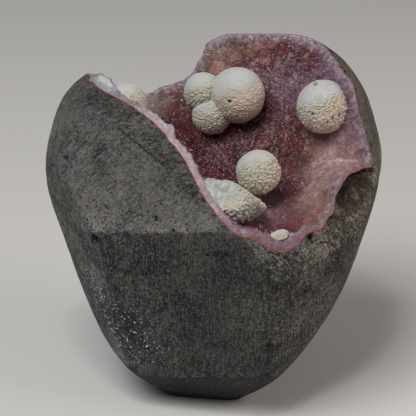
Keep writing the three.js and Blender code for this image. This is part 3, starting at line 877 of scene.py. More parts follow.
class Graph:
    """Shorthand for a node tree: each call adds a node, fills its sockets and gives one output."""

    def __init__(self, tree):
        self.tree = tree

    def fill(self, socket, value):
        """Links an output to a socket, or sets a plain value or colour on it."""
        if isinstance(value, Value):
            self.tree.links.new(value.socket, socket)
        else:
            socket.default_value = (*value, 1) if socket.type == "RGBA" else value

    def add(self, kind, values=None, output=0, **settings):
        node = self.tree.nodes.new("ShaderNode" + kind)
        for key, value in settings.items():
            setattr(node, key, value)
        for key, value in (values or {}).items():
            self.fill(node.inputs[key], value)
        return Value(self, node.outputs[output])

    def outputs(self, node):
        """A node's outputs by name."""
        return {socket.name: Value(self, socket) for socket in node.outputs}

    def math(self, operation, *values, clamp=False):
        return self.add("Math", dict(enumerate(values)), operation=operation, use_clamp=clamp)

    def vector(self, operation, first, second, output=0):
        values = {0: first, "Scale" if operation == "SCALE" else 1: second}
        return self.add("VectorMath", values, output, operation=operation)

    def ease(self, value, low, high):
        """Eased step from 0 at low to 1 at high."""
        limits = {"Value": value, "From Min": low, "From Max": high}
        return self.add("MapRange", limits, interpolation_type="SMOOTHSTEP")

    def mix(self, share, first, second):
        return self.add("Mix", {0: share, 6: first, 7: second}, output=2, data_type="RGBA")

    def tint(self, colour, settings, **shares):
        """Colour mixed in turn with the settings' colours of the same names as its zones."""
        for key, share in shares.items():
            colour = self.mix(self.mask(key) * share, colour, getattr(settings, key))
        return colour

    def brighten(self, colour, amount):
        """Colour times a value."""
        return self.vector("SCALE", colour, amount)

    def place(self):
        """Object coordinates in millimetres."""
        return self.vector("SCALE", self.add("TexCoord", output="Object"), 1 / MM)

    def noise(self, where, size, detail=2.0, roughness=0.55):
        values = {"Vector": where, "Scale": 1 / size, "Detail": detail, "Roughness": roughness}
        return self.add("TexNoise", values)

    def streaks(self, where, length, width, detail, roughness):
        """Noise drawn out along the first axis."""
        return self.noise(self.vector("MULTIPLY", where, (1 / length, 1 / width, 1)), 1, detail, roughness)

    def off_line(self, where, start, end):
        """Distance from a straight line between two points."""
        along = end - start
        arm = self.vector("SUBTRACT", where, tuple(start))
        share = self.vector("DOT_PRODUCT", arm, tuple(along / (along @ along)), output="Value")
        foot = self.vector("SCALE", tuple(along), share.kept())
        return self.vector("DISTANCE", arm, foot, output="Value")

    def mask(self, name):
        return self.add("Attribute", output="Fac", attribute_name=name)

    def bump(self, height, distance, strength=1.0):
        values = {"Height": height, "Distance": distance, "Strength": strength}
        return self.add("Bump", values, output="Normal")


def new_group(name, inputs):
    """An empty node group: gives its graph and its float inputs, which have the given defaults."""
    group = bpy.data.node_groups.new(name, "ShaderNodeTree")
    for key, value in inputs.items():
        socket = group.interface.new_socket(name=key, in_out="INPUT", socket_type="NodeSocketFloat")
        socket.default_value = value
    graph = Graph(group)
    return graph, graph.outputs(group.nodes.new("NodeGroupInput"))


def finish_group(graph, kind, outputs):
    """Gives a node group its outputs, all of one kind, and returns the group."""
    result = graph.tree.nodes.new("NodeGroupOutput")
    for key, value in outputs.items():
        graph.tree.interface.new_socket(name=key, in_out="OUTPUT", socket_type="NodeSocket" + kind)
        graph.fill(result.inputs[key], value)
    return graph.tree


def use_group(graph, group, **values):
    """Places a node group in a material and gives its outputs by name."""
    node = graph.tree.nodes.new("ShaderNodeGroup")
    node.node_tree = group
    for key, value in values.items():
        graph.fill(node.inputs[key], value)
    return graph.outputs(node)


def grain_group():
    """Crystal grains of one size: a random tone for each, their borders, and sparse flecks."""
    name = "Mineral Grain"
    if name in bpy.data.node_groups:
        return bpy.data.node_groups[name]
    graph, given = new_group(name, {"Size": 0.6, "Flecks": 0.1})
    scaled = graph.vector("DIVIDE", graph.place(), given["Size"])
    shift = graph.add("TexNoise", {"Vector": scaled, "Scale": 1.3, "Detail": 2.0}, output="Color")
    bent = graph.vector("ADD", scaled, graph.vector("SCALE", shift, 0.7))
    grains = {"Vector": bent, "Scale": 1.0}
    tag = graph.add("TexVoronoi", grains, output="Color")
    tone = graph.add("SeparateColor", {0: tag}, output="Red")
    chance = graph.add("SeparateColor", {0: tag}, output="Green")
    border = graph.ease(graph.add("TexVoronoi", grains, feature="DISTANCE_TO_EDGE"), 0.0, 0.18)
    small = 1 - graph.ease(graph.add("TexVoronoi", grains), 0.22, 0.42)
    fleck = small * graph.math("LESS_THAN", chance, given["Flecks"])
    return finish_group(graph, "Float", {"Tone": tone, "Border": border, "Fleck": fleck})


def crust_colour_group(crust):
    """Colour of the chalcedony by its zones, shared by the crust and the crystals on it."""
    name = "Chalcedony Colour"
    if name in bpy.data.node_groups:
        return bpy.data.node_groups[name]
    graph, _ = new_group(name, {})
    where = graph.place()
    small = graph.noise(where, 1.7, 3.0, 0.65)
    mottled = graph.ease(graph.noise(where, 5.5, 3.0, 0.6), 0.36, 0.62)
    colour = graph.mix(mottled, crust.deep, crust.rose)
    colour = graph.tint(colour, crust, brown=0.8, lilac=0.8, peach=0.85, grey=0.8)
    # Painted shade: the dark zones darken the crust under the overhang and beneath the balls, partly as
    # their shade.
    colour = graph.mix(graph.mask("dark") * graph.ease(small, 0.3, 0.6) * 0.6, colour, crust.dark)
    near_edge = 1 - graph.ease(graph.mask("inside"), 0.3, 4.0)
    colour = graph.mix(near_edge * (graph.ease(small, 0.4, 0.6) * 0.55 + 0.4), colour, crust.pale)
    colour = graph.tint(colour, crust, horn=0.9)
    colour = graph.brighten(colour, graph.noise(where, 2.6, 3.0, 0.6) * 1.6 + small * 1.2 - 0.43)
    return finish_group(graph, "Color", {"Color": colour})


def new_material(name):
    """A material with a Principled shader: gives the material, its graph and the shader."""
    material = bpy.data.materials.new(name)
    material.use_nodes = True
    return material, Graph(material.node_tree), material.node_tree.nodes["Principled BSDF"]


def finish_shader(graph, shader, sockets):
    """Fills a shader's sockets: outputs are linked, plain values set on the socket itself."""
    for key, value in sockets.items():
        graph.fill(shader.inputs[key], value)


def basalt_material(stone):
    """Ground basalt: grey grains with tan, brown and blue-grey ones, streaked by the saw.

    Over that lie flecks, scratches, rubbed and darker places, some of them painted shade along a ridge,
    bubbles with a pale filling and empty ones painted dark as their shade, brown earth in the dishes,
    painted shade in the pits and the groove, and the cracks and holes of MARKS painted dark as their shade.
    """
    material, graph, shader = new_material("Ground basalt")
    where = graph.place()
    grain, coarse, bubble, filled = (
        use_group(graph, grain_group(), Size=size, Flecks=flecks)
        for size, flecks in ((0.5, 0.07), (1.1, 0.06), (1.2, 0.75), (0.85, 0.5)))
    fine = graph.noise(where, 0.5, 3.0, 0.8)
    middle = graph.noise(where, 3.0, 3.0, 0.65)
    broad = graph.noise(where, 13.0, 3.0, 0.6)
    chart = graph.add("UVMap", uv_map="grind")
    streak = graph.streaks(chart, 3.6, 0.5, 3.0, 0.75)
    scratch = graph.streaks(chart, 6.0, 0.35, 1.0, 0.5)
    score = graph.streaks(chart, 7.0, 0.7, 2.0, 0.5)
    shade, vesicle = graph.mask("shade"), graph.mask("vesicle")

    warm = middle * 0.7 + broad * 0.6 + coarse["Tone"] * 0.4
    colour = graph.mix(graph.ease(warm, 0.6, 0.95), stone.grey, stone.tan)
    colour = graph.mix(graph.mask("warm") * 0.85, colour, stone.brown)
    cool = graph.ease(grain["Tone"], 0.5, 0.8) * (1 - graph.mask("warm") * 0.7)
    colour = graph.mix(cool, colour, stone.blue)
    value = fine * 4.6 + grain["Tone"] * 0.95 + coarse["Tone"] * 0.35 + middle * 1.3 + broad * 2.0
    contrast = graph.mask("side") * 1.3 + 1.96 - shade
    value = (value + streak * 2.9 - 6.05) * contrast + 1.08
    # Painted shade: smudges darken the stone, and along the upper ridge they stand for its shade.
    value = value + graph.mask("rubbed") * 0.35 - graph.mask("smudge") * 0.3
    # Painted shade: each facet's tone also darkens the low and downward facets as the underside's shade.
    colour = graph.brighten(colour, graph.math("MAXIMUM", value, 0.15) * shade)

    colour = graph.mix(graph.ease(scratch, 0.6, 0.7) * 0.25, colour, stone.fleck)
    colour = graph.mix(graph.ease(score, 0.63, 0.7) * 0.6, colour, stone.pit)
    colour = graph.mix(grain["Fleck"] * 0.55, colour, stone.fleck)
    colour = graph.mix(coarse["Fleck"] * 0.85, colour, stone.pit)
    # Painted shade: empty gas bubbles, which the mesh doesn't have, are painted near black as the shade
    # inside them.
    hollow = (bubble["Fleck"] * vesicle * 1.4).kept()
    colour = graph.mix(hollow, colour, tuple(c * 0.3 for c in stone.pit))
    some = graph.ease(graph.noise(where, 1.6), 0.38, 0.55)
    colour = graph.mix(filled["Fleck"] * vesicle * some, colour, stone.filled)
    crumb = graph.ease(coarse["Tone"], 0.68, 0.8) * graph.ease(middle, 0.45, 0.6)
    earth = graph.brighten(graph.mix(crumb, stone.earth, stone.crumb), fine * 3.4 + middle * 1.6 - 1.5)
    colour = graph.mix(graph.ease(graph.mask("dish"), 0.02, 0.4) * 0.75, colour, earth)
    # Painted shade: pits and the groove are darkened as their shade and the crust's shadow.
    colour = graph.mix(graph.ease(graph.mask("dark"), 0.1, 0.9), colour, stone.pit)
    frayed = graph.noise(where, 0.7, 2.0, 0.6) * 3.2 - 1.6
    starts, ends = (on_ground(direction(*MARKS[:, k:k + 2].T)) / MM for k in (0, 2))
    marks_shade = 0.0
    for start, end, half in zip(starts, ends, MARKS[:, 4]):
        away = graph.off_line(where, start, end) + frayed * half
        marks_shade = graph.math("MAXIMUM", 1 - graph.ease(away, 0.55 * half, 1.35 * half), marks_shade)
    # Painted shade: cracks, deep scratches and holes are painted dark as the shade inside them.
    colour = graph.mix(marks_shade * 0.8, colour, tuple(c * 0.5 for c in stone.pit))
    height = fine + grain["Border"] * 0.25 - grain["Fleck"] * 0.3 - coarse["Fleck"] * 0.8 + streak * 0.5
    finish_shader(graph, shader, {
        "Base Color": colour,
        "Roughness": fine * 0.3 + grain["Tone"] * 0.1 + graph.mask("dark") * 0.3 + 0.5,
        "Specular IOR Level": 0.35,
        "Normal": graph.bump(height, 0.3 * MM),
    })
    return material


def chalcedony_material(crust):
    """The crust: its colour zones, white druzy dust, a pale ground edge and a thin red line outside."""
    material, graph, shader = new_material("Chalcedony crust")
    where = graph.place()
    grain = use_group(graph, grain_group(), Size=0.5, Flecks=0.22)
    colour = use_group(graph, crust_colour_group(crust))["Color"]
    fine = graph.noise(where, 0.55, 3.0, 0.7)
    edge = graph.mask("edge")
    colour = graph.brighten(colour, grain["Tone"] * 0.5 + fine * 0.8 + 0.3)
    colour = graph.mix(grain["Fleck"] * (0.55 - graph.mask("calm") * 0.5), colour, crust.sparkle)

    low = graph.ease(graph.add("SeparateXYZ", {0: where}, output="Z"), 84.0, 66.0)
    rosy = graph.ease(graph.noise(where, 2.4, 3.0, 0.6) + low * 0.15, 0.35, 0.65)
    band = graph.mix(rosy, crust.band, crust.band_rose)
    band = graph.tint(band, crust, horn=0.8, brown=0.8)
    blotch = graph.noise(where, 1.1, 3.0, 0.75)
    band = graph.brighten(band, fine * 0.9 + blotch * 1.9 - low * 0.14 - 0.45)
    on_band = 1 - graph.ease(graph.mask("inside"), 0.0, 0.7)
    colour = graph.mix(on_band * 0.92, colour, band)
    line = 1 - graph.ease(edge + graph.noise(where, 0.9) * 0.5, 0.42, 0.7)
    colour = graph.mix(line * 0.85, colour, crust.line)
    colour = graph.mix(graph.ease(edge, -0.05, -0.3), colour, crust.back)
    finish_shader(graph, shader, {
        "Base Color": colour,
        "Roughness": fine * 0.3 + 0.22,
        "Specular IOR Level": 0.5,
        "Coat Weight": 0.15,
        "Coat Roughness": 0.15,
        "Normal": graph.bump(grain["Tone"] * 0.5 + fine * 0.8 + grain["Border"] * 0.2, 0.12 * MM, 0.6),
    })
    return material


def crystal_material(crust):
    """Tiny quartz points: the crust's colour, paler by a random tone, with a glassy gloss."""
    material, graph, shader = new_material("Druzy quartz")
    tone = graph.mask("tone")
    colour = use_group(graph, crust_colour_group(crust))["Color"]
    colour = graph.brighten(colour, tone * 0.5 + 0.75)
    frost = graph.noise(graph.place(), 3.2, 3.0, 0.7)
    pale = graph.ease(tone + frost * 0.7 + graph.mask("frost") * 0.14, 1.12, 1.26)
    finish_shader(graph, shader, {
        "Base Color": graph.mix(pale * 0.62, colour, crust.sparkle),
        "Roughness": 0.16,
        "Specular IOR Level": 0.55,
        "Coat Weight": 0.2,
        "Coat Roughness": 0.05,
    })
    return material


def okenite_material(okenite):
    """Okenite: matt white, ochre in the creases, tan below (partly painted warm bounce light), grey below
    (partly painted shade), pits darkened partly as painted shade, and grey cut faces.
    """
    material, graph, shader = new_material("Okenite")
    where = graph.place()
    fine = graph.noise(where, 0.4, 3.0, 0.7)
    middle = graph.noise(where, 2.2, 3.0, 0.6)
    low, ash = graph.mask("low"), graph.mask("ash")
    colour = graph.mix(graph.ease(middle, 0.35, 0.7), okenite.white, okenite.cream)
    # Partly painted light: the tan on the lower right also stands for warm light bouncing from the crust.
    colour = graph.mix((low * (middle * 0.6 + 0.5)).kept(), colour, okenite.tan)
    worn = graph.ease(graph.noise(where, 1.4, 3.0, 0.7), 0.35, 0.65)
    cut = graph.mix(worn, okenite.cut, okenite.white)
    colour = graph.mix(graph.mask("flat") * 0.8, colour, cut)
    # Painted shade: the underside turns grey and its creases darker, partly as their shade.
    colour = graph.mix(ash * 0.6, colour, okenite.ash)
    stain = graph.mix(ash, graph.mix(low, okenite.ochre, okenite.umber), okenite.soot)
    depth = (graph.mask("crevice") * (middle * 0.9 + 0.3)).kept()
    colour = graph.mix(depth * 0.8, colour, stain)
    # Painted shade: the bottoms of pits and dents are darkened partly as the shade inside them.
    colour = graph.tint(colour, okenite, pit=0.9)
    finish_shader(graph, shader, {
        "Base Color": graph.brighten(colour, fine * 0.5 + 0.75),
        "Roughness": 0.92,
        "Specular IOR Level": 0.2,
        "Normal": graph.bump(fine, 0.1 * MM, 0.5),
    })
    return material


def floor_material(studio):
    """A matt pale floor with the faintest cloud in it."""
    material, graph, shader = new_material("Pale floor")
    cloud = graph.noise(graph.place(), 180.0, 2.0, 0.5)
    finish_shader(graph, shader, {
        "Base Color": graph.mix(cloud, studio.floor, tuple(c * 0.97 for c in studio.floor)),
        "Roughness": 0.8,
        "Specular IOR Level": 0.2,
    })
    return material


# ---------------------------------------------------------------- settings
def colour_setting(name, description, *screen):
    """A linear colour property whose default is given as a screen colour."""
    return FloatVectorProperty(
        name=name, description=description, subtype="COLOR", size=3, min=0, max=1, default=srgb(*screen))


def length_setting(name, description, millimetres):
    """A length property whose default is given in millimetres."""
    return FloatProperty(
        name=name, description=description, default=millimetres * MM, min=0, precision=5,
        subtype="DISTANCE", unit="LENGTH")


class StoneSettings(bpy.types.PropertyGroup):
    """Sizes and colours of the basalt."""
    unevenness: length_setting("Unevenness", "Height of the slow waves in the ground faces", 0.16)
    grey: colour_setting("Grey", "Main colour of the ground stone", 84, 84, 82)
    tan: colour_setting("Tan", "Warmer patches of the stone", 93, 89, 78)
    brown: colour_setting("Brown", "Browner stone on the right", 92, 82, 71)
    blue: colour_setting("Blue grey", "Paler feldspar grains", 87, 89, 94)
    filled: colour_setting("Filled", "Pale mineral that fills the gas bubbles", 226, 230, 238)
    fleck: colour_setting("Fleck", "Small white flecks", 152, 150, 144)
    # Painted shade: this dark colour stands for the shade in pits and the groove; also used on dark grains
    # and saw scores.
    pit: colour_setting("Pit", "Dark pits and the groove beside the crust", 30, 26, 22)
    earth: colour_setting("Earth", "Brown earth in the dishes beside the crust", 54, 44, 36)
    crumb: colour_setting("Crumb", "Golden brown crumbs in that earth", 128, 100, 62)


class CrustSettings(bpy.types.PropertyGroup):
    """Sizes and colours of the chalcedony and its druse."""
    swell: length_setting("Swells", "Height of the slow swells of the face", 0.75)
    bumps: length_setting("Bumps", "Height of the rounded bumps", 0.26)
    grains: length_setting("Grains", "Height of the grains between the crystals", 0.12)
    crystals: IntProperty(name="Crystals", description="How many quartz points cover the face",
                          default=44000, min=100, max=60000)
    crystal_size: length_setting("Crystal size", "Middle length of a quartz point", 0.45)
    deep: colour_setting("Deep rose", "Darker mottling", 82, 24, 27)
    rose: colour_setting("Rose", "Lighter mottling", 115, 48, 50)
    # Partly painted shade: laid under the rim's overhang and beneath the balls.
    dark: colour_setting("Dark", "Dark hollows of the face", 62, 26, 30)
    brown: colour_setting("Brown", "Brown red back of the vug", 174, 130, 111)
    lilac: colour_setting("Lilac", "Lilac side of the vug", 144, 112, 125)
    peach: colour_setting("Peach", "Peach shelf at the front right", 176, 144, 142)
    grey: colour_setting("Grey", "Grey brown corners at the back", 156, 140, 134)
    pale: colour_setting("Pale", "Pale lip inside the edge", 184, 166, 181)
    horn: colour_setting("Horn", "Blue white end of the crust", 182, 190, 203)
    sparkle: colour_setting("Sparkle", "Whitest crystals", 186, 180, 202)
    band: colour_setting("Band", "Ground edge of the crust", 160, 160, 174)
    band_rose: colour_setting("Band rose", "Pinker parts of that edge", 146, 116, 126)
    line: colour_setting("Line", "Thin red line against the basalt", 190, 80, 54)
    back: colour_setting("Back", "Back of the crust where it stands free", 84, 54, 48)


class OkeniteSettings(bpy.types.PropertyGroup):
    """Sizes and colours of the okenite."""
    relief: length_setting("Relief", "Height of the cells and creases of a ball", 0.34)
    cell_size: length_setting("Cell size", "Width of one rounded cell", 1.05)
    pit_depth: length_setting("Pit depth", "Depth of the sparse pits", 0.45)
    fibre_length: length_setting("Fibre length", "Middle length of a fibre tuft", 0.22)
    fibre_width: length_setting("Fibre width", "Width of a tuft at its foot", 0.11)
    fibres: FloatProperty(name="Fibres", description="Tufts on each square millimetre", default=9,
                          min=0, max=30)
    white: colour_setting("White", "Main colour of the balls", 204, 207, 208)
    cream: colour_setting("Cream", "Creamier patches", 203, 203, 202)
    # Partly painted light: tan on the lower right, also standing for warm light bouncing from the crust.
    tan: colour_setting("Tan", "Stained underside", 238, 218, 206)
    ochre: colour_setting("Ochre", "Yellow stain in the creases", 200, 176, 98)
    umber: colour_setting("Umber", "Darker stain in the creases underneath", 207, 174, 143)
    # Partly painted shade: the dark bottoms of pits and dents.
    pit: colour_setting("Pit", "Bottoms of the pits", 84, 62, 56)
    cut: colour_setting("Cut", "Ground faces", 147, 153, 157)
    # Partly painted shade: grey laid on the downward-facing underside.
    ash: colour_setting("Ash", "Grey underside of the half ball", 200, 196, 192)
    # Partly painted shade: darker creases in that underside.
    soot: colour_setting("Soot", "Creases in that grey underside", 96, 80, 72)


class StudioSettings(bpy.types.PropertyGroup):
    """Floor, lights and camera."""
    floor: colour_setting("Floor", "Colour of the floor", 236, 235, 233)
    key: FloatProperty(name="Key", description="Power of the large light above left", default=6.2,
                       min=0, unit="POWER")
    fill: FloatProperty(name="Fill", description="Power of the low light on the right", default=2.4,
                        min=0, unit="POWER")
    glint: FloatProperty(name="Glint", description="Power of the small light that makes the sparkle",
                         default=0.3, min=0, unit="POWER")
    sky: FloatProperty(name="Surround", description="Brightness of the pale surround", default=0.1, min=0)
    distance: FloatProperty(name="Distance", description="Camera distance from its target", default=0.52,
                            min=0.1, unit="LENGTH", subtype="DISTANCE")
    elevation: FloatProperty(name="Elevation", description="Camera angle above level",
                             default=math.radians(22), subtype="ANGLE", unit="ROTATION")
    lens: FloatProperty(name="Lens", description="Focal length in millimetres", default=150.5, min=10)


# ---------------------------------------------------------------- operators
def place_piece(piece, material, slot, *nodes):
    """Dresses a piece, lets it ride on the one body and hides the parts it stands for; the slot is not used.
    """
    piece.data.materials.append(material)
    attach(piece, "root")
    if nodes:
        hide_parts(*nodes)


class SPECIMEN_OT_basalt_block(bpy.types.Operator):
    """Make the ground basalt block"""
    bl_idname = "specimen.basalt_block"
    bl_label = "Basalt Block"

    def execute(self, context):
        stone = context.scene.specimen_stone
        points, faces, values = basalt_surface(stone)
        piece = add_piece("basalt_block", points, faces, values=values, chart=grind_chart(points))
        place_piece(piece, basalt_material(stone), "basalt", "basalt_matrix")
        return {"FINISHED"}


class SPECIMEN_OT_chalcedony_crust(bpy.types.Operator):
    """Make the chalcedony crust that lines the vug"""
    bl_idname = "specimen.chalcedony_crust"
    bl_label = "Chalcedony Crust"

    def execute(self, context):
        crust = context.scene.specimen_crust
        points, faces, values = crust_surface(crust)
        piece = add_piece("chalcedony_lining", points, faces, values=values)
        place_piece(piece, chalcedony_material(crust), "chalcedony", "chalcedony_crust")
        return {"FINISHED"}


class SPECIMEN_OT_druse(bpy.types.Operator):
    """Scatter the tiny quartz points over the crust"""
    bl_idname = "specimen.druse"
    bl_label = "Druzy Quartz"
    PIECES = 2
    SIDES = 4
    SEED = 71
    TILT = 0.38                                # spread of the crystals' directions
    SPREAD = 0.32                              # spread of the logarithm of their lengths
    SUNK = 0.35                                # share of the length that lies in the crust
    GIRTH = 0.42                               # radius as a share of the length

    def execute(self, context):
        crust = context.scene.specimen_crust
        random = np.random.default_rng(self.SEED)
        feet, normals, values = druse_points(crust, random)
        normals = unit(normals)
        count = len(feet)
        axes = unit(normals + random.normal(0, self.TILT, (count, 3)))
        values["tone"] = random.random(count)
        size = crust.crystal_size * np.exp(random.normal(0, self.SPREAD, count))
        near_band = 1 - smooth(0.3, 2.5, values["inside"])
        size *= (1 - 0.45 * near_band) * (0.85 + 0.5 * (values["tone"] > 0.75))
        feet = feet - normals * (self.SUNK * size)[:, None]
        material = crystal_material(crust)
        for part in range(self.PIECES):
            some = slice(part, None, self.PIECES)
            kept = {key: value[some] for key, value in values.items()}
            piece = add_spikes(f"druzy_quartz_{part + 1}", feet[some], axes[some], self.GIRTH * size[some],
                               size[some], self.SIDES, kept, random)
            place_piece(piece, material, "chalcedony")
        return {"FINISHED"}


def joined(parts):
    """The values by point of several meshes, each the last thing in its tuple, end to end."""
    return {key: np.concatenate([part[-1][key] for part in parts]) for key in parts[0][-1]}


class SPECIMEN_OT_okenite_balls(bpy.types.Operator):
    """Make the okenite balls with their felt of fibres"""
    bl_idname = "specimen.okenite_balls"
    bl_label = "Okenite Balls"
    # Name, node, then each surface: lobes, flatter sides, dents, squares along a cube edge,
    # coarseness, how far the bleached top (the side towards the key light) is pushed back, how far the
    # underside is stained tan (partly painted warm bounce light) and how far grey (partly painted shade),
    # seed.
    GROUPS = (
        ("okenite_upper_cluster", "okenite_cluster_upper",
         ((UPPER_CLUSTER[0], (), BIG_DENTS, 84, 0.9, 0.12, 1, 0, 101),
          (UPPER_CLUSTER[1], (), (), 60, 1.3, 0.22, 0.1, 0, 111),
          (UPPER_CLUSTER[2], (), (), 60, 1.5, 0.3, 0.35, 0, 121))),
        ("okenite_right_ball", "okenite_ball_right",
         ((RIGHT_BALL, (), RIGHT_DENTS, 110, 1.6, 0.25, 0.8, 0, 131),)),
        ("okenite_lower_cluster", "okenite_cluster_lower",
         ((LOWER_BALL, (), (), 80, 1.7, 0.38, 0.6, 0, 141),
          (HALF_BALL, HALF_BALL_SIDES, HALF_DENTS, 96, 2.3, 0.5, 0.3, 1, 151))),
        ("okenite_left_ball", "okenite_ball_left",
         ((LEFT_BALL, (), (), 80, 0.8, 0.3, 0.8, 0, 161),)),
    )
    SIDES = 3                                  # corners round the foot of a fibre
    SEED = 81
    SPREAD = 0.3                               # spread of the logarithm of the fibres' lengths
    SUNK = 0.35                                # share of the length that lies in the ball

    def execute(self, context):
        okenite = context.scene.specimen_okenite
        material = okenite_material(okenite)
        random = np.random.default_rng(self.SEED)
        for name, node, balls in self.GROUPS:
            shapes, tufts = [], []
            for lobes, sides, dents, count, *looks in balls:
                shapes.append(ball_surface(lobes, sides, dents, count, okenite, *looks))
                area = 4 * math.pi * np.atleast_2d(lobes)[:, 3].max() ** 2
                tufts.append(fibre_tufts(*shapes[-1], int(area * okenite.fibres), random))
            starts = np.cumsum([0] + [len(shape[0]) for shape in shapes])
            points = np.concatenate([shape[0] for shape in shapes])
            quads = np.concatenate([shape[1] + start for shape, start in zip(shapes, starts)])
            piece = add_piece(name, points, (quads,), values=joined(shapes))
            place_piece(piece, material, "okenite", node)
            feet, axes = (np.concatenate([tuft[k] for tuft in tufts]) for k in range(2))
            values = joined(tufts)
            long = okenite.fibre_length * np.exp(random.normal(0, self.SPREAD, len(feet)))
            long *= 0.6 + 0.5 * values["under"]
            feet = feet - axes * (self.SUNK * long)[:, None]
            wide = np.full(len(feet), okenite.fibre_width / 2)
            felt = add_spikes(name + "_fibres", feet, axes, wide, long, self.SIDES, values, random)
            place_piece(felt, material, "okenite")
        return {"FINISHED"}


class SPECIMEN_OT_okenite_patches(bpy.types.Operator):
    """Make the two small ground patches of okenite on the crust's edge"""
    bl_idname = "specimen.okenite_patches"
    bl_label = "Okenite Patches"
    # Name, node, azimuth, elevation, half length and width and height in mm, turn in degrees,
    # and how far it is tinted by the crease's ochre.
    PATCHES = (
        ("okenite_horn_spot", "okenite_patch_horn", -168.4, 47.2, 4.3, 1.3, 0.8, 11, 0.4),
        ("okenite_front_spot", "okenite_patch_front", -66.3, 1.5, 3.5, 1.5, 0.5, 0, 0.95),
    )
    ROWS, COLUMNS = 40, 120
    SUNK = 0.4                                 # how far in mm a patch's edge lies under the ground
    UNDERSIDE = 0.5                            # the same of its underside

    def execute(self, context):
        material = bpy.data.materials["Okenite"]
        angle = (np.arange(self.COLUMNS) * 2 * math.pi / self.COLUMNS)[:, None]
        share = np.linspace(0, 1, self.ROWS + 1)[1:, None, None]
        for name, node, azimuth, elevation, half, wide, high, turn, cream in self.PATCHES:
            here = on_ground(direction(azimuth, elevation))
            east = unit(on_ground(direction(azimuth + 1, elevation)) - here)
            north = unit(on_ground(direction(azimuth, elevation + 1)) - here)
            up = unit(np.cross(east, north))
            turn = math.radians(turn)
            ahead = math.cos(turn) * east + math.sin(turn) * np.cross(up, east)
            ring = np.cos(angle) * ahead * half + np.sin(angle) * np.cross(up, ahead) * wide
            ring = ring * (1 + 0.12 * waves(here + ring * MM, 1.5 * MM, 91))[:, None]
            disc = here + ring * share * MM
            rise = high * np.sqrt(np.clip(1 - share ** 3, 0, 1)) - self.SUNK
            top = disc + up * rise * MM + up * 0.1 * MM * layers(disc, 0.9 * MM, 92)[..., None]
            rows = np.concatenate([disc - up * self.UNDERSIDE * MM, top[::-1]])
            points, quads, ends = ring_mesh(
                here - up * self.UNDERSIDE * MM, rows, here + up * (high - self.SUNK) * MM)
            points = points + proud(points)
            stained = smooth(0.2, 0.9, 0.5 + waves(points, 1.5 * MM, 93)) * cream
            values = dict.fromkeys(("flat", "pit", "ash"), np.zeros(len(points)))
            values.update(crevice=stained, low=0.5 * stained)
            piece = add_piece(name, points, (quads, ends), values=values)
            place_piece(piece, material, "okenite", node)
        return {"FINISHED"}


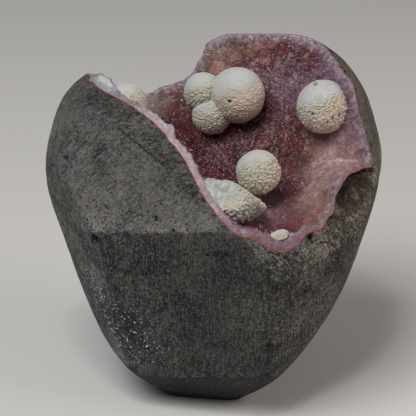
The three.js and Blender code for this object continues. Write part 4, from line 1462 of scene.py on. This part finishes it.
class SPECIMEN_OT_studio(bpy.types.Operator):
    """Make the floor, the lights and the camera"""
    bl_idname = "specimen.studio"
    bl_label = "Studio"
    TARGET = (-1.57 * MM, 0, 53.5 * MM)        # point that the lights and the camera face
    FLOOR_HALF = 3                             # half the floor's side in metres
    FLOOR_SQUARES = 24
    SENSOR = 36                                # width of the camera's sensor in mm
    # Name, azimuth and elevation in degrees, distance and side in metres, colour.
    LIGHTS = (
        ("key", -126, 57, 1.0, 0.55, (1, 0.995, 0.985)),
        ("fill", -18, 34, 1.0, 0.5, (1, 0.89, 0.79)),
        ("glint", -100, 62, 0.8, 0.05, (1, 1, 1)),
    )

    def light(self, name, azimuth, elevation, distance, side, colour, power):
        data = bpy.data.lights.new(name, "AREA")
        data.size = side
        data.energy = power
        data.color = colour
        lamp = bpy.data.objects.new(name, data)
        lamp.location = Vector(direction(azimuth, elevation) * distance) + Vector(self.TARGET)
        lamp.rotation_euler = (Vector(self.TARGET) - lamp.location).to_track_quat("-Z", "Y").to_euler()
        bpy.context.scene.collection.objects.link(lamp)

    def floor(self, studio):
        steps = np.linspace(-self.FLOOR_HALF, self.FLOOR_HALF, self.FLOOR_SQUARES + 1)
        x, y = np.meshgrid(steps, steps, indexing="ij")
        number = np.arange(x.size).reshape(x.shape)
        corners = (number[:-1, :-1], number[1:, :-1], number[1:, 1:], number[:-1, 1:])
        quads = np.stack(corners, -1).reshape(-1, 4)
        floor = add_piece("floor", np.stack([x, y, 0 * x], -1).reshape(-1, 3), (quads,))
        floor.data.materials.append(floor_material(studio))

    def camera(self, studio):
        data = bpy.data.cameras.new("camera")
        data.sensor_width = self.SENSOR
        data.lens = studio.lens
        data.clip_start = 0.01
        camera = bpy.data.objects.new("camera", data)
        toward = Vector((0, math.cos(studio.elevation), -math.sin(studio.elevation)))
        camera.location = Vector(self.TARGET) - toward * studio.distance
        camera.rotation_euler = (math.pi / 2 - studio.elevation, 0, 0)
        bpy.context.scene.collection.objects.link(camera)
        bpy.context.scene.camera = camera

    def execute(self, context):
        studio = context.scene.specimen_studio
        self.floor(studio)
        for name, *settings in self.LIGHTS:
            self.light(name, *settings, getattr(studio, name))
        world = bpy.data.worlds.new("Surround")
        world.use_nodes = True
        background = world.node_tree.nodes["Background"]
        background.inputs["Color"].default_value = (1, 1, 1, 1)
        background.inputs["Strength"].default_value = studio.sky
        context.scene.world = world
        self.camera(studio)
        context.scene.view_settings.view_transform = "Standard"
        return {"FINISHED"}


class SPECIMEN_PT_panel(bpy.types.Panel):
    """Lists the specimen's settings and operators"""
    bl_idname = "SPECIMEN_PT_panel"
    bl_label = "Okenite Specimen"
    bl_space_type = "VIEW_3D"
    bl_region_type = "UI"
    bl_category = "Specimen"

    def draw(self, context):
        for group, operators in SECTIONS:
            box = self.layout.box()
            settings = getattr(context.scene, group)
            for key in settings.bl_rna.properties.keys():
                if key not in ("rna_type", "name"):
                    box.prop(settings, key)
            for operator in operators:
                box.operator(operator.bl_idname)


SETTINGS = {
    "specimen_stone": StoneSettings,
    "specimen_crust": CrustSettings,
    "specimen_okenite": OkeniteSettings,
    "specimen_studio": StudioSettings,
}
SECTIONS = (
    ("specimen_stone", (SPECIMEN_OT_basalt_block,)),
    ("specimen_crust", (SPECIMEN_OT_chalcedony_crust, SPECIMEN_OT_druse)),
    ("specimen_okenite", (SPECIMEN_OT_okenite_balls, SPECIMEN_OT_okenite_patches)),
    ("specimen_studio", (SPECIMEN_OT_studio,)),
)
OPERATORS = [operator for _, operators in SECTIONS for operator in operators]


def register():
    for group in (*SETTINGS.values(), *OPERATORS, SPECIMEN_PT_panel):
        bpy.utils.register_class(group)
    for key, group in SETTINGS.items():
        setattr(bpy.types.Scene, key, PointerProperty(type=group))


def unregister():
    for key in SETTINGS:
        delattr(bpy.types.Scene, key)
    for group in (SPECIMEN_PT_panel, *OPERATORS, *SETTINGS.values()):
        bpy.utils.unregister_class(group)


def main():
    register()
    bpy.ops.specimen.studio()
    bpy.ops.specimen.basalt_block()
    bpy.ops.specimen.chalcedony_crust()
    bpy.ops.specimen.druse()
    bpy.ops.specimen.okenite_balls()
    bpy.ops.specimen.okenite_patches()


if __name__ == "__main__":
    main()
